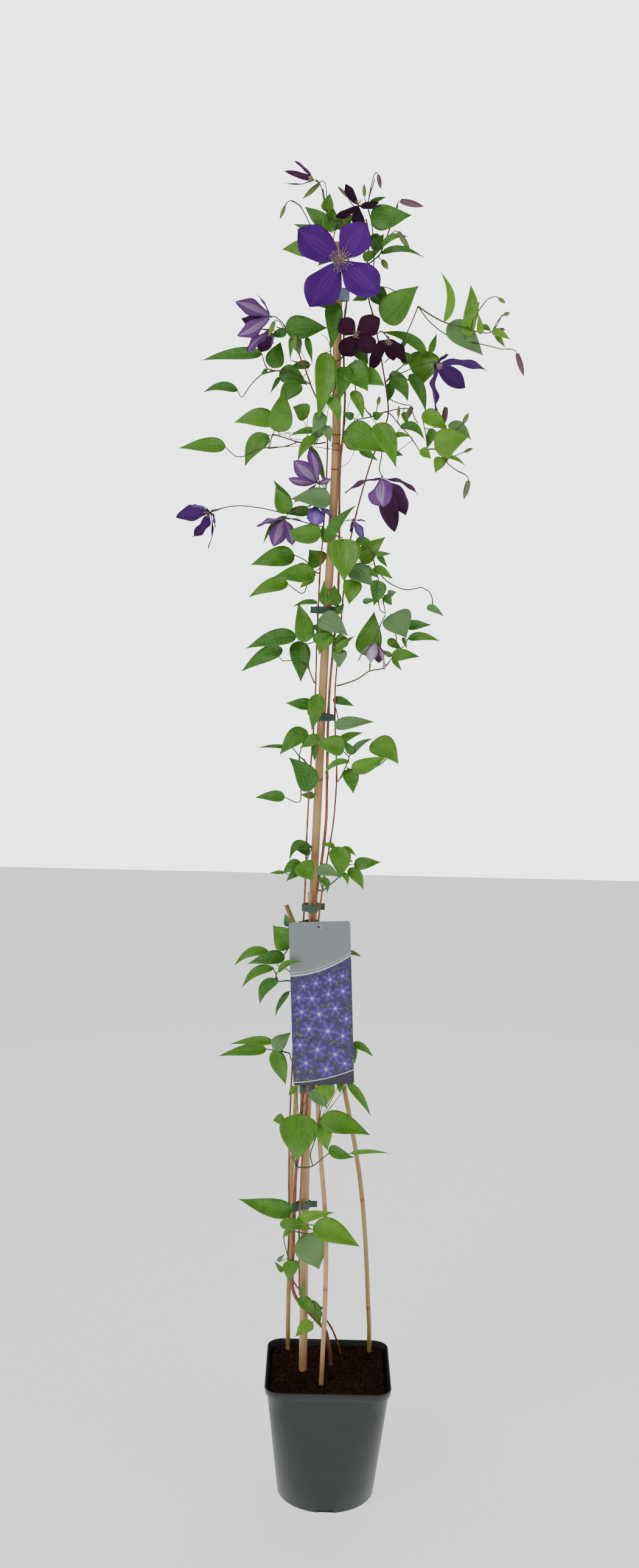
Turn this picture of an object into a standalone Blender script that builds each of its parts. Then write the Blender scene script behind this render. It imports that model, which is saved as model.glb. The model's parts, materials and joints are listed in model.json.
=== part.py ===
# Clematis climbing a bamboo cane trellis in a square-topped nursery pot.
#
# One plant, 2 m tall: a pot of soil, one tall cane with three thin canes leaning in to it, plastic
# ties, a hanging plant label, three woody vines, and the leaf sprays and blooms that they carry.
# Axes: X right and Z up as seen from the front, Y away from the viewer. The origin is the middle of
# the pot's base, on the floor. Lengths are millimetres in the tables and metres in the meshes.
import math
import random
from collections import namedtuple

import bmesh
import bpy
from mathutils import Matrix, Quaternion, Vector
from mathutils.bvhtree import BVHTree

MM = 0.001

# Driving sizes, in millimetres.
POT_TOP = 190.0
POT_BASE = 148.0
POT_HEIGHT = 197.0
POT_WALL = 1.6
POT_LIP = 12.0
CANE_RADIUS = 6.3
THIN_CANE_RADIUS = 3.6
SOIL_LEVEL = 184.0
GAP = 0.3
LABEL_SIZE = (91.0, 247.0)
BLADE = 0.8
STALK_WIDTH = 1.5

# Where the viewer stands when the table's places are read, in metres.
EYE = Vector((-0.033, -2.45, 1.351))


def seen(x, z, y):
    """The point at depth y that is seen at (x, z) on the plane y = 0, in metres."""
    flat = Vector((x, 0.0, z)) * MM
    return EYE + (flat - EYE) * ((y * MM - EYE.y) / -EYE.y)


# The plant's table. Every place is (x, z) as seen on the plane y = 0, with its depth y beside it.
# Leaf: blade from foot to tip, width as seen, depths of foot and tip, lift = how far its middle
# arches up, roll = turn about its length, cup = how far its middle bulges forward.
Leaf = namedtuple("Leaf", "foot tip width depth lift roll cup", defaults=(0, 0, 0.07))
Bud = namedtuple("Bud", "stalk tip width")


def leaf(fx, fz, tx, tz, width, y0, y1, lift=0, roll=0, cup=0.07):
    return Leaf((fx, fz), (tx, tz), width, (y0, y1), lift, roll, cup)


# Canes: (x, z, y) points up the cane.
CANE_MAIN = [(-38.5, 40, 13), (-38.5, 240, 13), (-40.7, 500, 13), (-39.5, 760, 13), (-38, 940, 12),
             (-34.2, 1100, 12), (-31, 1240, 11), (-25.7, 1400, 10), (-21.7, 1500, 10),
             (-20, 1600, 9), (-22, 1700, 8), (-22, 1780, 8), (-26, 1872, 8)]
CANE_LEFT = [(-54, 100, 56), (-62, 225, 76), (-62, 400, 68), (-62, 500, 62), (-58.5, 600, 52),
             (-55.5, 720, 40), (-51.5, 880, 26)]
CANE_FRONT = [(-10.5, 40, -30), (-9.5, 170, -30), (-6.5, 300, -26), (-8, 420, -21), (-15.8, 500, -18),
              (-24, 600, -14), (-30, 700, -9), (-36.5, 800, -4), (-43.5, 931, 0.5)]
CANE_RIGHT = [(55, 100, 54), (62.8, 222, 72), (59, 300, 68), (52.3, 400, 62), (41, 500, 55),
              (21.6, 600, 48), (1, 690, 42), (-28, 780, 40), (-58, 865, 42), (-78.5, 911, 44)]

# Vines: (x, z, y) points up each stem, then its radius at the foot and at the tip.
VINE_MAIN = [(5, 188, 32), (3, 215, 31), (-4, 250, 22), (-16, 266, 8), (-30, 281, -2), (-42, 294, -5),
             (-52, 306, -6), (-58, 330, -6), (-57, 380, -5), (-57, 420, -4), (-55.5, 500, -4),
             (-51.5, 540, -4), (-49, 590, -4), (-48.5, 640, -4), (-50, 700, -5), (-51, 760, -7),
             (-49, 820, -10), (-43, 870, -11), (-37, 905, -9), (-32, 945, -6), (-26.5, 985, 0),
             (-22, 1040, 3), (-22, 1100, 4), (-22.5, 1180, 4), (-21, 1240, 5), (-17, 1300, 5),
             (-12.5, 1350, 5), (-12, 1400, 4), (-12.5, 1460, 3), (-13.5, 1510, 2), (-13.5, 1560, 2),
             (-10, 1610, 1), (-9, 1660, 1), (-12, 1710, 2), (-12.5, 1760, 2), (-9, 1800, 3),
             (-9, 1850, 8), (-14, 1890, 14), (-18, 1912, 18)]
VINE_LEFT = [(21, 200, 66), (17, 225, 62), (4, 258, 44), (-14, 282, 30), (-34, 306, 28), (-53, 326, 27),
             (-64, 356, 26), (-64, 420, 27), (-66, 500, 28), (-66, 600, 26), (-63, 700, 20),
             (-58, 800, 8), (-53, 870, 2), (-51, 940, 2), (-50, 1020, 4), (-47, 1110, 4),
             (-42.5, 1200, 3), (-41.5, 1300, 2), (-39.5, 1400, 2), (-36, 1460, 2), (-33, 1540, 1),
             (-33.5, 1600, 4), (-44, 1640, 14), (-56, 1665, 22), (-70, 1700, 26), (-88, 1736, 28),
             (-100, 1756, 30)]
VINE_RIGHT = [(-38, 306, -12), (-47, 345, -14), (-48.5, 420, -12), (-46.5, 520, -12), (-41, 620, -13),
              (-38, 700, -14), (-35, 790, -14), (-31, 870, -14), (-27, 920, -12), (-18.5, 985, 0),
              (-12, 1030, 5), (-9.5, 1060, 6), (-8, 1110, 7), (-12, 1180, 9), (-13, 1240, 10),
              (-8, 1310, 13), (-4, 1380, 14), (2, 1440, 14), (14, 1500, 16), (30, 1560, 18),
              (44, 1600, 18), (54, 1632, 18), (50, 1668, 20), (44, 1700, 20), (36, 1740, 20),
              (29, 1770, 20), (21, 1798, 22), (19, 1840, 24), (20, 1880, 26), (15, 1905, 27)]

# Leaf sprays: stems as (x, z, y) routes from the vine outwards, then leaves and buds.
SPRAYS = {
    "spray_crown": dict(
        stems=[[(-20, 1913, 18), (-27, 1902, 30), (-34, 1905, 36), (-42, 1918, 38), (-47, 1945, 38)],
               [(-34, 1905, 36), (-60, 1893, 34), (-70, 1906, 32), (-80, 1922, 30), (-93, 1928, 28)],
               [(-27, 1902, 30), (-30, 1880, 34), (-34, 1862, 34)]],
        leaves=[leaf(-42, 1914, -37, 1940, 17, 38, 34), leaf(-40, 1896, -73, 1920, 20, 34, 40),
                leaf(-36, 1886, -32, 1921, 24, 36, 40), leaf(-45, 1884, -89, 1896, 13, 34, 38),
                leaf(-58, 1862, -104, 1860, 24, 34, 44, 2), leaf(-27, 1892, -1, 1911, 18, 34, 40),
                leaf(-30, 1858, -53, 1838, 13, 34, 38)],
        buds=[Bud([(-42, 1918, 38), (-42, 1940, 38), (-45, 1955, 36), (-50, 1957, 34), (-53, 1952, 33)],
                  (-76, 1931, 26), 7.5),
              Bud([(-80, 1922, 30), (-92, 1929, 28), (-99, 1925, 27), (-101, 1920, 26)],
                  (-108, 1902, 24), 5.5)]),
    "spray_crown_right": dict(
        stems=[[(22.5, 1843, 22), (28, 1849, 14), (36, 1856, 8), (42, 1872, 8), (52, 1900, 8),
                (60, 1925, 8)],
               [(28, 1849, 14), (27, 1875, 12), (22, 1905, 12), (17, 1925, 12), (26, 1960, 12)],
               [(28, 1849, 14), (27, 1828, 13), (30, 1811, 12), (46, 1811, 10), (58, 1806, 10)]],
        leaves=[leaf(21, 1906, 80, 1912, 35, 12, 4), leaf(19, 1925, 44, 1936, 7, 14, 18, 2),
                leaf(26, 1862, 41, 1885, 17, 14, 20), leaf(25, 1884, 38, 1862, 15, 20, 20),
                leaf(39, 1868, 78, 1881, 9, 6, 0, 8), leaf(38, 1858, 100, 1853, 9, 6, -6, 9),
                leaf(12, 1850, 36, 1862, 13, 18, 14), leaf(32, 1810, 51, 1786, 17, 16, 18),
                leaf(24, 1798, 49, 1783, 10, 12, 12), leaf(20, 1800, -2, 1791, 12, 14, 10),
                leaf(44, 1763, 93, 1814, 42, -2, -10, 3)],
        buds=[Bud([(52, 1900, 8), (58, 1922, 8), (61, 1931, 6), (64, 1931, 4)], (97, 1924, -4), 10),
              Bud([(17, 1925, 12), (20, 1945, 12), (25, 1966, 12), (28, 1971, 12), (31, 1966, 12)],
                  (35, 1947, 10), 6.5),
              Bud([(19, 1912, 14), (13, 1932, 16), (12, 1937, 16)], (11, 1954, 16), 5.5),
              Bud([(42, 1872, 8), (50, 1884, 4), (58, 1890, 2), (62, 1888, 0)], (80, 1861, -6), 8),
              Bud([(36, 1856, 8), (34, 1851, 4), (37, 1850, 2), (40, 1848, 0)], (48, 1836, -4), 9),
              Bud([(20, 1925, 12), (-2, 1922, 22), (-12, 1935, 26)], (-27, 1950, 28), 5)]),
    "spray_far_right": dict(
        stems=[[(88, 1783, -12), (112, 1773, -10), (133, 1763, -8), (160, 1756, -8), (182, 1751, -8),
                (200, 1752, -8), (214, 1776, -6)],
               [(88, 1783, -12), (84, 1762, -2), (72, 1735, 6), (58, 1716, 12), (46.5, 1705, 17)],
               [(88, 1783, -12), (110, 1764, -2), (135, 1746, 4), (160, 1738, 4), (185, 1734, 2),
                (214, 1728, 0)],
               [(170, 1753, -8), (172, 1768, -10), (182, 1784, -10)]],
        leaves=[leaf(132, 1765, 122, 1836, 12, -8, -16, 12), leaf(165, 1757, 167, 1818, 20, -6, 2, 4),
                leaf(162, 1745, 181, 1794, 20, -14, -22, 3), leaf(137, 1762, 188, 1718, 34, -2, 8, 3),
                leaf(184, 1748, 180, 1776, 9, -12, -12), leaf(200, 1753, 227, 1741, 11, -8, -14, 2),
                leaf(205, 1749, 220, 1730, 7, -8, -4), leaf(182, 1757, 199, 1751, 8, -2, 4, 4)],
        buds=[Bud([(214, 1728, 0), (228, 1728, 0), (235, 1726, 0), (237, 1722, 0)], (248, 1690, 2), 8.5),
              Bud([(200, 1752, -8), (208, 1768, -6), (216, 1776, -6)], (225, 1779, -6), 6),
              Bud([(200, 1752, -8), (206, 1757, -8), (210, 1756, -8)], (219, 1755, -10), 5),
              Bud([(182, 1784, -10), (192, 1797, -10), (204, 1802, -10), (208, 1799, -10)],
                  (218, 1792, -10), 6)]),
    "spray_right_upper": dict(
        stems=[[(51, 1677, 22), (58, 1688, 32), (74, 1702, 36), (96, 1718, 34), (112, 1718, 32)],
               [(58, 1688, 32), (84, 1680, 34), (96, 1668, 34), (100, 1655, 34)],
               [(58, 1688, 32), (52, 1668, 34), (56, 1654, 34), (70, 1648, 34), (80, 1646, 34)]],
        leaves=[leaf(106, 1720, 38, 1748, 15, 32, 24, 9), leaf(105, 1723, 100, 1672, 46, 30, 34),
                leaf(112, 1720, 121, 1748, 9, 32, 34), leaf(84, 1706, 65, 1723, 17, 36, 36),
                leaf(54, 1688, 82, 1681, 16, 30, 38), leaf(57, 1684, 82, 1651, 20, 30, 40, 6),
                leaf(55, 1676, 52, 1648, 13, 30, 30, 2), leaf(84, 1690, 108, 1636, 17, 30, 40, 5),
                leaf(72, 1727, 81, 1747, 5, 34, 30)],
        buds=[Bud([(80, 1646, 34), (86, 1646, 34), (88, 1643, 34)], (78, 1622, 32), 9),
              Bud([(96, 1668, 34), (118, 1700, 24), (138, 1690, 18)], (148, 1685, 18), 6)]),
    "spray_left_upper": dict(
        stems=[[(-90, 1734, 24), (-84, 1740, 16), (-72, 1742, 12), (-66, 1738, 12)],
               [(-84, 1740, 16), (-98, 1748, 14), (-110, 1752, 12)]],
        leaves=[leaf(-97, 1752, -36, 1752, 33, 14, 20, 0), leaf(-66, 1738, -57, 1704, 9, 12, 16),
                leaf(-95, 1746, -119, 1739, 13, 16, 22), leaf(-83, 1740, -75, 1711, 15, 20, 24),
                leaf(-88, 1738, -89, 1706, 7, 12, 12)],
        buds=[Bud([(-98, 1748, 14), (-104, 1758, 8), (-110, 1762, 4), (-113, 1759, 2)],
                  (-121, 1738, 0), 7.5),
              Bud([(-84, 1740, 16), (-82, 1741, 10), (-82, 1740, 8)], (-83, 1719, 6), 7.5)]),
    "spray_left_far": dict(
        stems=[[(-60, 1671, 26), (-72, 1680, 32), (-90, 1690, 32), (-110, 1690, 30), (-122, 1693, 28),
                (-127, 1704, 26), (-130, 1714, 26)],
               [(-110, 1690, 30), (-130, 1684, 30), (-146, 1668, 30), (-158, 1651, 30), (-164, 1662, 30)]],
        leaves=[leaf(-130, 1714, -218, 1702, 17, 26, 30, 4), leaf(-115, 1694, -103, 1731, 27, 35, 42),
                leaf(-104, 1689, -63, 1671, 27, 37, 40, 3), leaf(-74, 1674, -104, 1642, 26, 40, 44, 4),
                leaf(-122, 1692, -131, 1684, 5, 28, 28), leaf(-104, 1681, -117, 1658, 6, 32, 30),
                leaf(-164, 1662, -214, 1657, 13, 30, 34, 7), leaf(-60, 1700, -92, 1693, 12, 40, 44, 2)],
        buds=[]),
    "spray_left_mid": dict(
        stems=[[(-35.5, 1590, 3), (-50, 1588, -4), (-75, 1590, -6), (-100, 1597, -8), (-112, 1600, -8)],
               [(-75, 1590, -6), (-95, 1583, -4), (-118, 1581, -4), (-135, 1577, -4), (-150, 1569, -2),
                (-164, 1567, 0), (-180, 1580, 0)],
               [(-112, 1600, -8), (-115, 1591, -6), (-118, 1581, -4)]],
        leaves=[leaf(-103, 1603, -97, 1664, 34, -12, -18), leaf(-108, 1620, -169, 1615, 27, 0, 4, 6),
                leaf(-120, 1600, -151, 1554, 26, -2, 4, 6), leaf(-62, 1626, -84, 1640, 25, 12, 16, 3),
                leaf(-180, 1582, -248, 1577, 21, 0, -6, 3), leaf(-50, 1598, -75, 1563, 15, -14, -18, 5),
                leaf(-50, 1607, -88, 1598, 9, -10, -14, 3)],
        buds=[]),
    "spray_front_upper": dict(
        stems=[[(-14.5, 1712, -1), (-20, 1706, -12), (-28, 1708, -18), (-32, 1730, -18), (-30, 1786, -18)],
               [(-28, 1708, -18), (-22, 1690, -18), (-24, 1664, -18), (-30, 1655, -18)]],
        leaves=[leaf(-29, 1789, -30, 1722, 25, -18, -22, 2), leaf(-38, 1718, -48, 1620, 31, -20, -28, 4),
                leaf(-8, 1698, -17, 1650, 24, -22, -32, 0), leaf(-31, 1654, -15, 1618, 17, -30, -38, 3),
                leaf(-40, 1632, -55, 1602, 20, -18, -22), leaf(-36, 1614, -28, 1590, 14, -20, -22),
                leaf(-31, 1788, -53, 1782, 12, -16, -12)],
        buds=[]),
    "spray_right_inner": dict(
        stems=[[(52.2, 1636, 15), (44, 1634, 6), (30, 1628, 2), (10, 1624, 0)],
               [(52.2, 1636, 15), (60, 1630, 4), (70, 1618, -2), (86, 1602, -4), (101, 1581, -4)],
               [(52.2, 1636, 15), (68, 1640, 8), (86, 1640, 4), (92, 1628, 2), (98, 1620, 2)],
               [(30, 1628, 2), (20, 1640, -10), (8, 1660, -14), (2, 1690, -16)]],
        leaves=[leaf(-2, 1703, 24, 1664, 38, -16, -24), leaf(14, 1690, 48, 1672, 24, -10, -6, 2),
                leaf(2, 1664, 18, 1624, 16, -18, -24, 3), leaf(6, 1727, 24, 1702, 19, -12, -10),
                leaf(-8, 1608, 52, 1578, 42, -8, -14, 3), leaf(37, 1619, 67, 1557, 30, -16, -22, 5),
                leaf(-5, 1592, 14, 1579, 14, -12, -10), leaf(14, 1583, 41, 1566, 12, -4, 0),
                leaf(32, 1628, 47, 1633, 12, -4, -8), leaf(62, 1576, 78, 1573, 7, -4, -4, 2),
                leaf(72, 1616, 108, 1596, 13, 0, -4, 9), leaf(60, 1600, 90, 1600, 7, -8, -10, 4),
                leaf(76, 1636, 83, 1616, 8, 4, 2), leaf(4, 1626, -12, 1634, 11, -8, -12)],
        buds=[Bud([(36, 1630, 3), (38, 1642, 0), (39, 1646, 0)], (41, 1658, 0), 6),
              Bud([(60, 1604, -4), (68, 1622, -6), (69, 1630, -6)], (69, 1645, -6), 5)]),
    "spray_right_outer": dict(
        stems=[[(102.1, 1579.5, -4.4), (112, 1583, -4), (124, 1584, -4), (136, 1573, -2), (142, 1564, 0),
                (158, 1553, 0), (166, 1550, 0)],
               [(112, 1583, -4), (110, 1600, -2), (104, 1626, 0)]],
        leaves=[leaf(104, 1636, 141, 1611, 24, 0, 4, 2), leaf(123, 1585, 173, 1604, 38, -8, -16, 4),
                leaf(140, 1592, 140, 1565, 20, -6, 2), leaf(142, 1620, 175, 1598, 17, 2, -4, 5),
                leaf(119, 1613, 113, 1586, 13, 4, 4), leaf(103, 1584, 118, 1570, 13, -8, -8),
                leaf(133, 1573, 124, 1550, 17, 2, 2), leaf(142, 1574, 168, 1561, 5, 0, 2, 3)],
        buds=[Bud([(130, 1572, -3), (134, 1600, 6), (137, 1640, 6), (137, 1644, 6)], (134, 1616, 6), 9),
              Bud([(140, 1570, 0), (156, 1577, 0), (166, 1581, 0)], (178, 1587, 0), 5.5),
              Bud([(150, 1615, -12), (160, 1619, -12), (163, 1622, -12)], (170, 1637, -12), 7),
              Bud([(166, 1550, 0), (172, 1546, 0), (173, 1540, 0)], (167, 1513, 0), 9)]),
    "spray_left_low": dict(
        stems=[[(-38, 1500, 0.5), (-46, 1502, -8), (-60, 1498, -10), (-86, 1488, -8)],
               [(-46, 1502, -8), (-42, 1520, -12), (-46, 1545, -12), (-58, 1578, -12)]],
        leaves=[leaf(-88, 1488, -107, 1525, 25, -6, 0), leaf(-84, 1503, -111, 1536, 10, 6, 8),
                leaf(-26, 1508, -84, 1508, 28, -18, -26, 4), leaf(-57, 1492, -94, 1490, 15, -2, 2),
                leaf(-90, 1483, -123, 1443, 9, -8, -10, 6), leaf(-58, 1583, -33, 1525, 11, -20, -26, 3),
                leaf(-36, 1614, -62, 1590, 15, -2, 4)],
        buds=[]),
    "spray_front_mid": dict(
        stems=[[(-14, 1477, -0.8), (-17, 1470, -14), (-20, 1458, -18), (-34, 1448, -16)],
               [(-20, 1458, -18), (-8, 1454, -22)]],
        leaves=[leaf(-7, 1452, -4, 1391, 46, -24, -38, 2), leaf(-31, 1448, 10, 1501, 17, -18, -26, 5),
                leaf(-30, 1447, -38, 1472, 13, -16, -14), leaf(-38, 1462, -99, 1459, 27, -16, -10, -3)],
        buds=[]),
    "spray_left_1420": dict(
        stems=[[(-42, 1402, 3), (-50, 1406, 8), (-58, 1418, 10), (-68, 1424, 10), (-78, 1428, 10)],
               [(-50, 1406, 8), (-57, 1388, 7), (-64, 1372, 7), (-86, 1386, 8)],
               [(-50, 1406, 8), (-49, 1397, -1), (-46, 1399, -9)]],
        leaves=[leaf(-77, 1428, -141, 1412, 29, 8, 4, 3), leaf(-37, 1415, -56, 1436, 30, 18, 22),
                leaf(-60, 1412, -76, 1413, 9, 12, 16), leaf(-46, 1402, -109, 1394, 27, -8, -16, 3),
                leaf(-86, 1388, -143, 1365, 21, 8, 4, 5), leaf(-48, 1398, -69, 1380, 11, -10, -8)],
        buds=[]),
    "spray_right_1420": dict(
        stems=[[(3, 1419, 11), (12, 1426, 2), (26, 1440, -6), (33, 1439, -8), (42, 1410, -8),
                (50, 1380, -10), (58, 1346, -10)],
               [(42, 1410, -8), (60, 1392, -8), (82, 1382, -8), (96, 1382, -8), (110, 1385, -8),
                (124, 1375, -8), (126, 1356, -8)],
               [(50, 1380, -10), (47, 1366, -10), (50, 1350, -10), (58, 1346, -10)]],
        leaves=[leaf(20, 1420, 55, 1457, 26, -8, -14, 3), leaf(12, 1452, 43, 1440, 13, -2, 2, 2),
                leaf(40, 1432, 64, 1433, 7, -10, -12), leaf(44, 1432, 59, 1413, 8, -8, -4),
                leaf(5, 1411, 40, 1385, 28, -12, -18, 3), leaf(38, 1411, 67, 1396, 13, -12, -16, 3),
                leaf(45, 1394, 40, 1357, 23, -18, -24, 3), leaf(10, 1394, 4, 1358, 27, -14, -20),
                leaf(60, 1374, 73, 1378, 10, -12, -12), leaf(56, 1373, 67, 1358, 12, -6, -2),
                leaf(24, 1362, 43, 1367, 8, -8, -8), leaf(118, 1358, 143, 1344, 10, -8, -12, 2),
                leaf(20, 1412, 46, 1397, 12, -20, -22, 2)],
        buds=[]),
    "spray_left_1300": dict(
        stems=[[(-44.8, 1240, 2), (-52, 1262, -4), (-55, 1284, -6), (-60, 1298, -8), (-72, 1309, -6)],
               [(-52, 1262, -4), (-68, 1274, 6), (-92, 1274, 10), (-98, 1284, 8)],
               [(-60, 1298, -8), (-52, 1300, -14), (-44, 1303, -16)]],
        leaves=[leaf(-58, 1302, -70, 1359, 28, -12, -6, 2), leaf(-42, 1360, -79, 1352, 7, 2, 8, 4),
                leaf(-72, 1311, -146, 1290, 24, -6, -2, 5), leaf(-92, 1292, -151, 1257, 22, 8, 14, 4),
                leaf(-69, 1303, -64, 1243, 30, -12, -18, 2), leaf(-47, 1305, -22, 1316, 15, -18, -22)],
        buds=[]),
    "spray_front_1330": dict(
        stems=[[(-18, 1311, 0.5), (-22, 1314, -12), (-30, 1322, -16), (-37, 1336, -18)],
               [(-22, 1314, -12), (-14, 1330, -14), (-15, 1356, -12)]],
        leaves=[leaf(-38, 1338, 4, 1312, 30, -20, -32, 4), leaf(-27, 1319, -38, 1284, 26, -16, -22),
                leaf(1, 1311, -18, 1291, 20, -14, -10), leaf(-8, 1293, -8, 1265, 21, -8, -14),
                leaf(-13, 1290, 13, 1312, 11, -12, -18, 2), leaf(-16, 1356, -18, 1386, 19, -14, -10),
                leaf(-33, 1357, -33, 1392, 12, -14, -10), leaf(-14, 1345, -3, 1359, 11, -8, -4),
                leaf(-30, 1321, -50, 1326, 14, -10, -6)],
        buds=[]),
    "spray_right_1320": dict(
        stems=[[(-14.5, 1238, 6.5), (0, 1242, 8), (20, 1250, 8), (37, 1262, 6), (56, 1266, 8),
                (68, 1280, 10), (76, 1293, 10), (86, 1298, 10), (92, 1311, 10)],
               [(37, 1262, 6), (37, 1284, 10), (36, 1292, 12)],
               [(76, 1293, 10), (74, 1315, 12), (68, 1342, 6)]],
        leaves=[leaf(29, 1284, 41, 1349, 37, 14, 20, 2), leaf(67, 1346, 89, 1311, 44, 0, -8, 3),
                leaf(88, 1329, 125, 1331, 14, 8, 8, 1), leaf(92, 1311, 140, 1307, 12, 8, 2, 5),
                leaf(62, 1308, 83, 1295, 12, 16, 20), leaf(68, 1284, 110, 1284, 17, 8, 0, 3),
                leaf(70, 1281, 84, 1263, 7, 10, 12), leaf(68, 1284, 54, 1293, 7, 10, 8),
                leaf(84, 1312, 91, 1295, 5, 10, 10)],
        buds=[]),
    "spray_1200": dict(
        stems=[[(-45.6, 1190, 3), (-52, 1196, 0), (-52, 1208, 0), (-46, 1212, 0)],
               [(-45.6, 1190, 3), (-48, 1204, -12), (-44, 1218, -14), (-38, 1226, -14)]],
        leaves=[leaf(-46, 1211, -86, 1212, 17, 0, 0, 0), leaf(-38, 1226, -46, 1172, 23, -14, -18, 0)],
        buds=[]),
    "spray_1200_right": dict(
        stems=[[(-9.2, 1187, 10), (-7, 1184, 10), (-3, 1181, 8)], [(-7, 1184, 10), (-10, 1200, 16), (-15, 1217, 16)]],
        leaves=[leaf(-16, 1219, 16, 1209, 12, 16, 12, 2), leaf(-13, 1180, 47, 1187, 18, -2, -10, 3)],
        buds=[]),
    "spray_left_1140": dict(
        stems=[[(-50, 1118, 4), (-56, 1128, 2), (-64, 1134, 2), (-74, 1146, 2), (-82, 1147, 2)],
               [(-64, 1134, 2), (-60, 1150, 4), (-54, 1166, 4)],
               [(-50, 1118, 4), (-50, 1092, -8), (-46, 1084, -8)],
               [(-64, 1134, 2), (-61, 1098, 2), (-62, 1066, 2), (-84, 1073, 2)]],
        leaves=[leaf(-54, 1173, -93, 1135, 26, 4, -4, 4), leaf(-82, 1147, -127, 1145, 5, 2, 2, 2),
                leaf(-36, 1165, -63, 1146, 16, -8, -2), leaf(-45, 1084, -79, 1132, 33, -8, -4, 6),
                leaf(-42, 1152, -41, 1127, 9, -4, -8), leaf(-84, 1073, -128, 1071, 16, 2, -2, 2),
                leaf(-40, 1076, -61, 1077, 10, 8, 12)],
        buds=[]),
    "spray_right_1140": dict(
        stems=[[(-6, 1096, 4), (-2, 1104, -2), (6, 1122, -6), (10, 1134, -6)],
               [(-2, 1104, -2), (18, 1108, -2), (52, 1122, -4), (66, 1134, -4)],
               [(10, 1134, -6), (-1, 1145, -12)]],
        leaves=[leaf(3, 1147, -42, 1153, 29, -15, -18, 3), leaf(-8, 1154, 31, 1171, 12, -2, 2, 4),
                leaf(14, 1140, 2, 1159, 12, -8, -10), leaf(42, 1156, 83, 1125, 34, 0, -8, 8),
                leaf(13, 1139, 46, 1163, 9, -4, 0, 5), leaf(14, 1116, 67, 1138, 22, -11, -14, -2),
                leaf(10, 1128, -28, 1105, 9, -18, -24, 8), leaf(9, 1117, 17, 1080, 23, -9, -16, 2)],
        buds=[]),
    "spray_left_970": dict(
        stems=[[(-54, 962, 2), (-56, 968, -10), (-60, 974, -14)], [(-54, 962, 2), (-48, 984, -10), (-42, 998, -8)],
               [(-56, 968, -10), (-66, 955, -10), (-62, 962, -12)]],
        leaves=[leaf(-42, 1000, -75, 977, 15, -8, -12, 14), leaf(-44, 990, -67, 995, 12, -4, 2, 2),
                leaf(-56, 974, -86, 957, 18, -8, -12, 4), leaf(-84, 961, -105, 959, 5, -10, -10),
                leaf(-60, 975, -40, 948, 30, -14, -18, 2), leaf(-60, 962, -79, 947, 11, -14, -18, 2)],
        buds=[]),
    "spray_right_970": dict(
        stems=[[(-33.5, 935, -10.8), (-24, 934, -18), (-18, 940, -20), (-4, 952, -14), (2, 960, -12),
                (10, 974, -8), (18, 974, -8)],
               [(-24, 934, -18), (-30, 952, -20), (-34, 965, -22)],
               [(2, 960, -12), (-4, 976, -12), (-4, 1000, -10)]],
        leaves=[leaf(-4, 1001, 1, 953, 31, -12, -16, 3), leaf(-34, 966, 1, 955, 18, -26, -28, 4),
                leaf(0, 997, 24, 987, 9, -8, -8, 4), leaf(-8, 1000, -28, 1003, 8, -6, -2, 2),
                leaf(21, 974, 61, 979, 18, -8, -12, 1), leaf(14, 969, 36, 937, 17, -10, -8, 3),
                leaf(4, 962, 12, 943, 8, -18, -22, 3), leaf(-32, 953, -19, 929, 11, -26, -30, 8),
                leaf(6, 979, 20, 980, 5, -8, -8)],
        buds=[]),
    "spray_850": dict(
        stems=[[(-67, 795, 14), (-74, 797, 10), (-88, 795, 6), (-92, 800, 6), (-90, 810, 6)],
               [(-67, 795, 14), (-72, 812, 8), (-90, 820, 8), (-80, 836, 6), (-74, 846, 6)],
               [(-88, 795, 6), (-92, 806, 4), (-96, 816, 4)],
               [(-67, 795, 14), (-64, 832, 14), (-50, 842, 8), (-12, 842, -4), (14, 842, -4)],
               [(-67, 795, 14), (-66, 782, 12), (-72, 780, 10)]],
        leaves=[leaf(-73, 846, -98, 880, 36, 4, 10, 3), leaf(-74, 879, -80, 899, 11, 8, 10),
                leaf(-79, 833, -134, 821, 20, 2, -4, 3), leaf(-104, 841, -155, 817, 14, 12, 10, 9),
                leaf(-88, 810, -50, 826, 9, -18, -30, 7), leaf(-96, 816, -143, 783, 14, 2, 0, 9),
                leaf(-90, 799, -115, 759, 18, 4, 0, 8), leaf(-72, 780, -92, 741, 8, 8, 8, 3),
                leaf(14, 842, 36, 835, 6, -4, -6, 2)],
        buds=[]),
    "spray_700": dict(
        stems=[[(-70, 684, 21), (-78, 688, 12), (-94, 690, 10), (-104, 691, 8)],
               [(-78, 688, 12), (-88, 700, 12), (-95, 703, 12)],
               [(-70, 684, 21), (-60, 672, 32), (-20, 690, 12), (24, 702, 6)]],
        leaves=[leaf(-95, 703, -158, 698, 13, 12, 10, 3), leaf(-104, 691, -176, 679, 17, 8, 2, 3),
                leaf(-94, 693, -68, 718, 22, 6, 12), leaf(-92, 690, -73, 637, 24, 8, 14),
                leaf(24, 703, 57, 683, 11, 6, 4, 4), leaf(26, 700, 29, 671, 11, 8, 12)],
        buds=[]),
    "spray_580": dict(
        stems=[[(-56.6, 510, -7.5), (-44, 509, -24), (-30, 512, -30), (-16, 524, -30), (-6, 532, -26)],
               [(-56.6, 510, -7.5), (-60, 540, -16), (-58, 570, -20), (-54, 590, -20)],
               [(-30, 512, -30), (-34, 530, -26), (-28, 552, -24), (-22, 582, -22)]],
        leaves=[leaf(-53, 592, -54, 519, 57, -20, -34, 1), leaf(-75, 585, -92, 582, 15, -10, -6),
                leaf(-20, 585, 56, 562, 33, -24, -30, 4), leaf(-18, 576, -8, 537, 24, -24, -30),
                leaf(-13, 645, -12, 605, 25, -22, -26, 0), leaf(-34, 630, -10, 602, 19, -24, -28),
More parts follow.
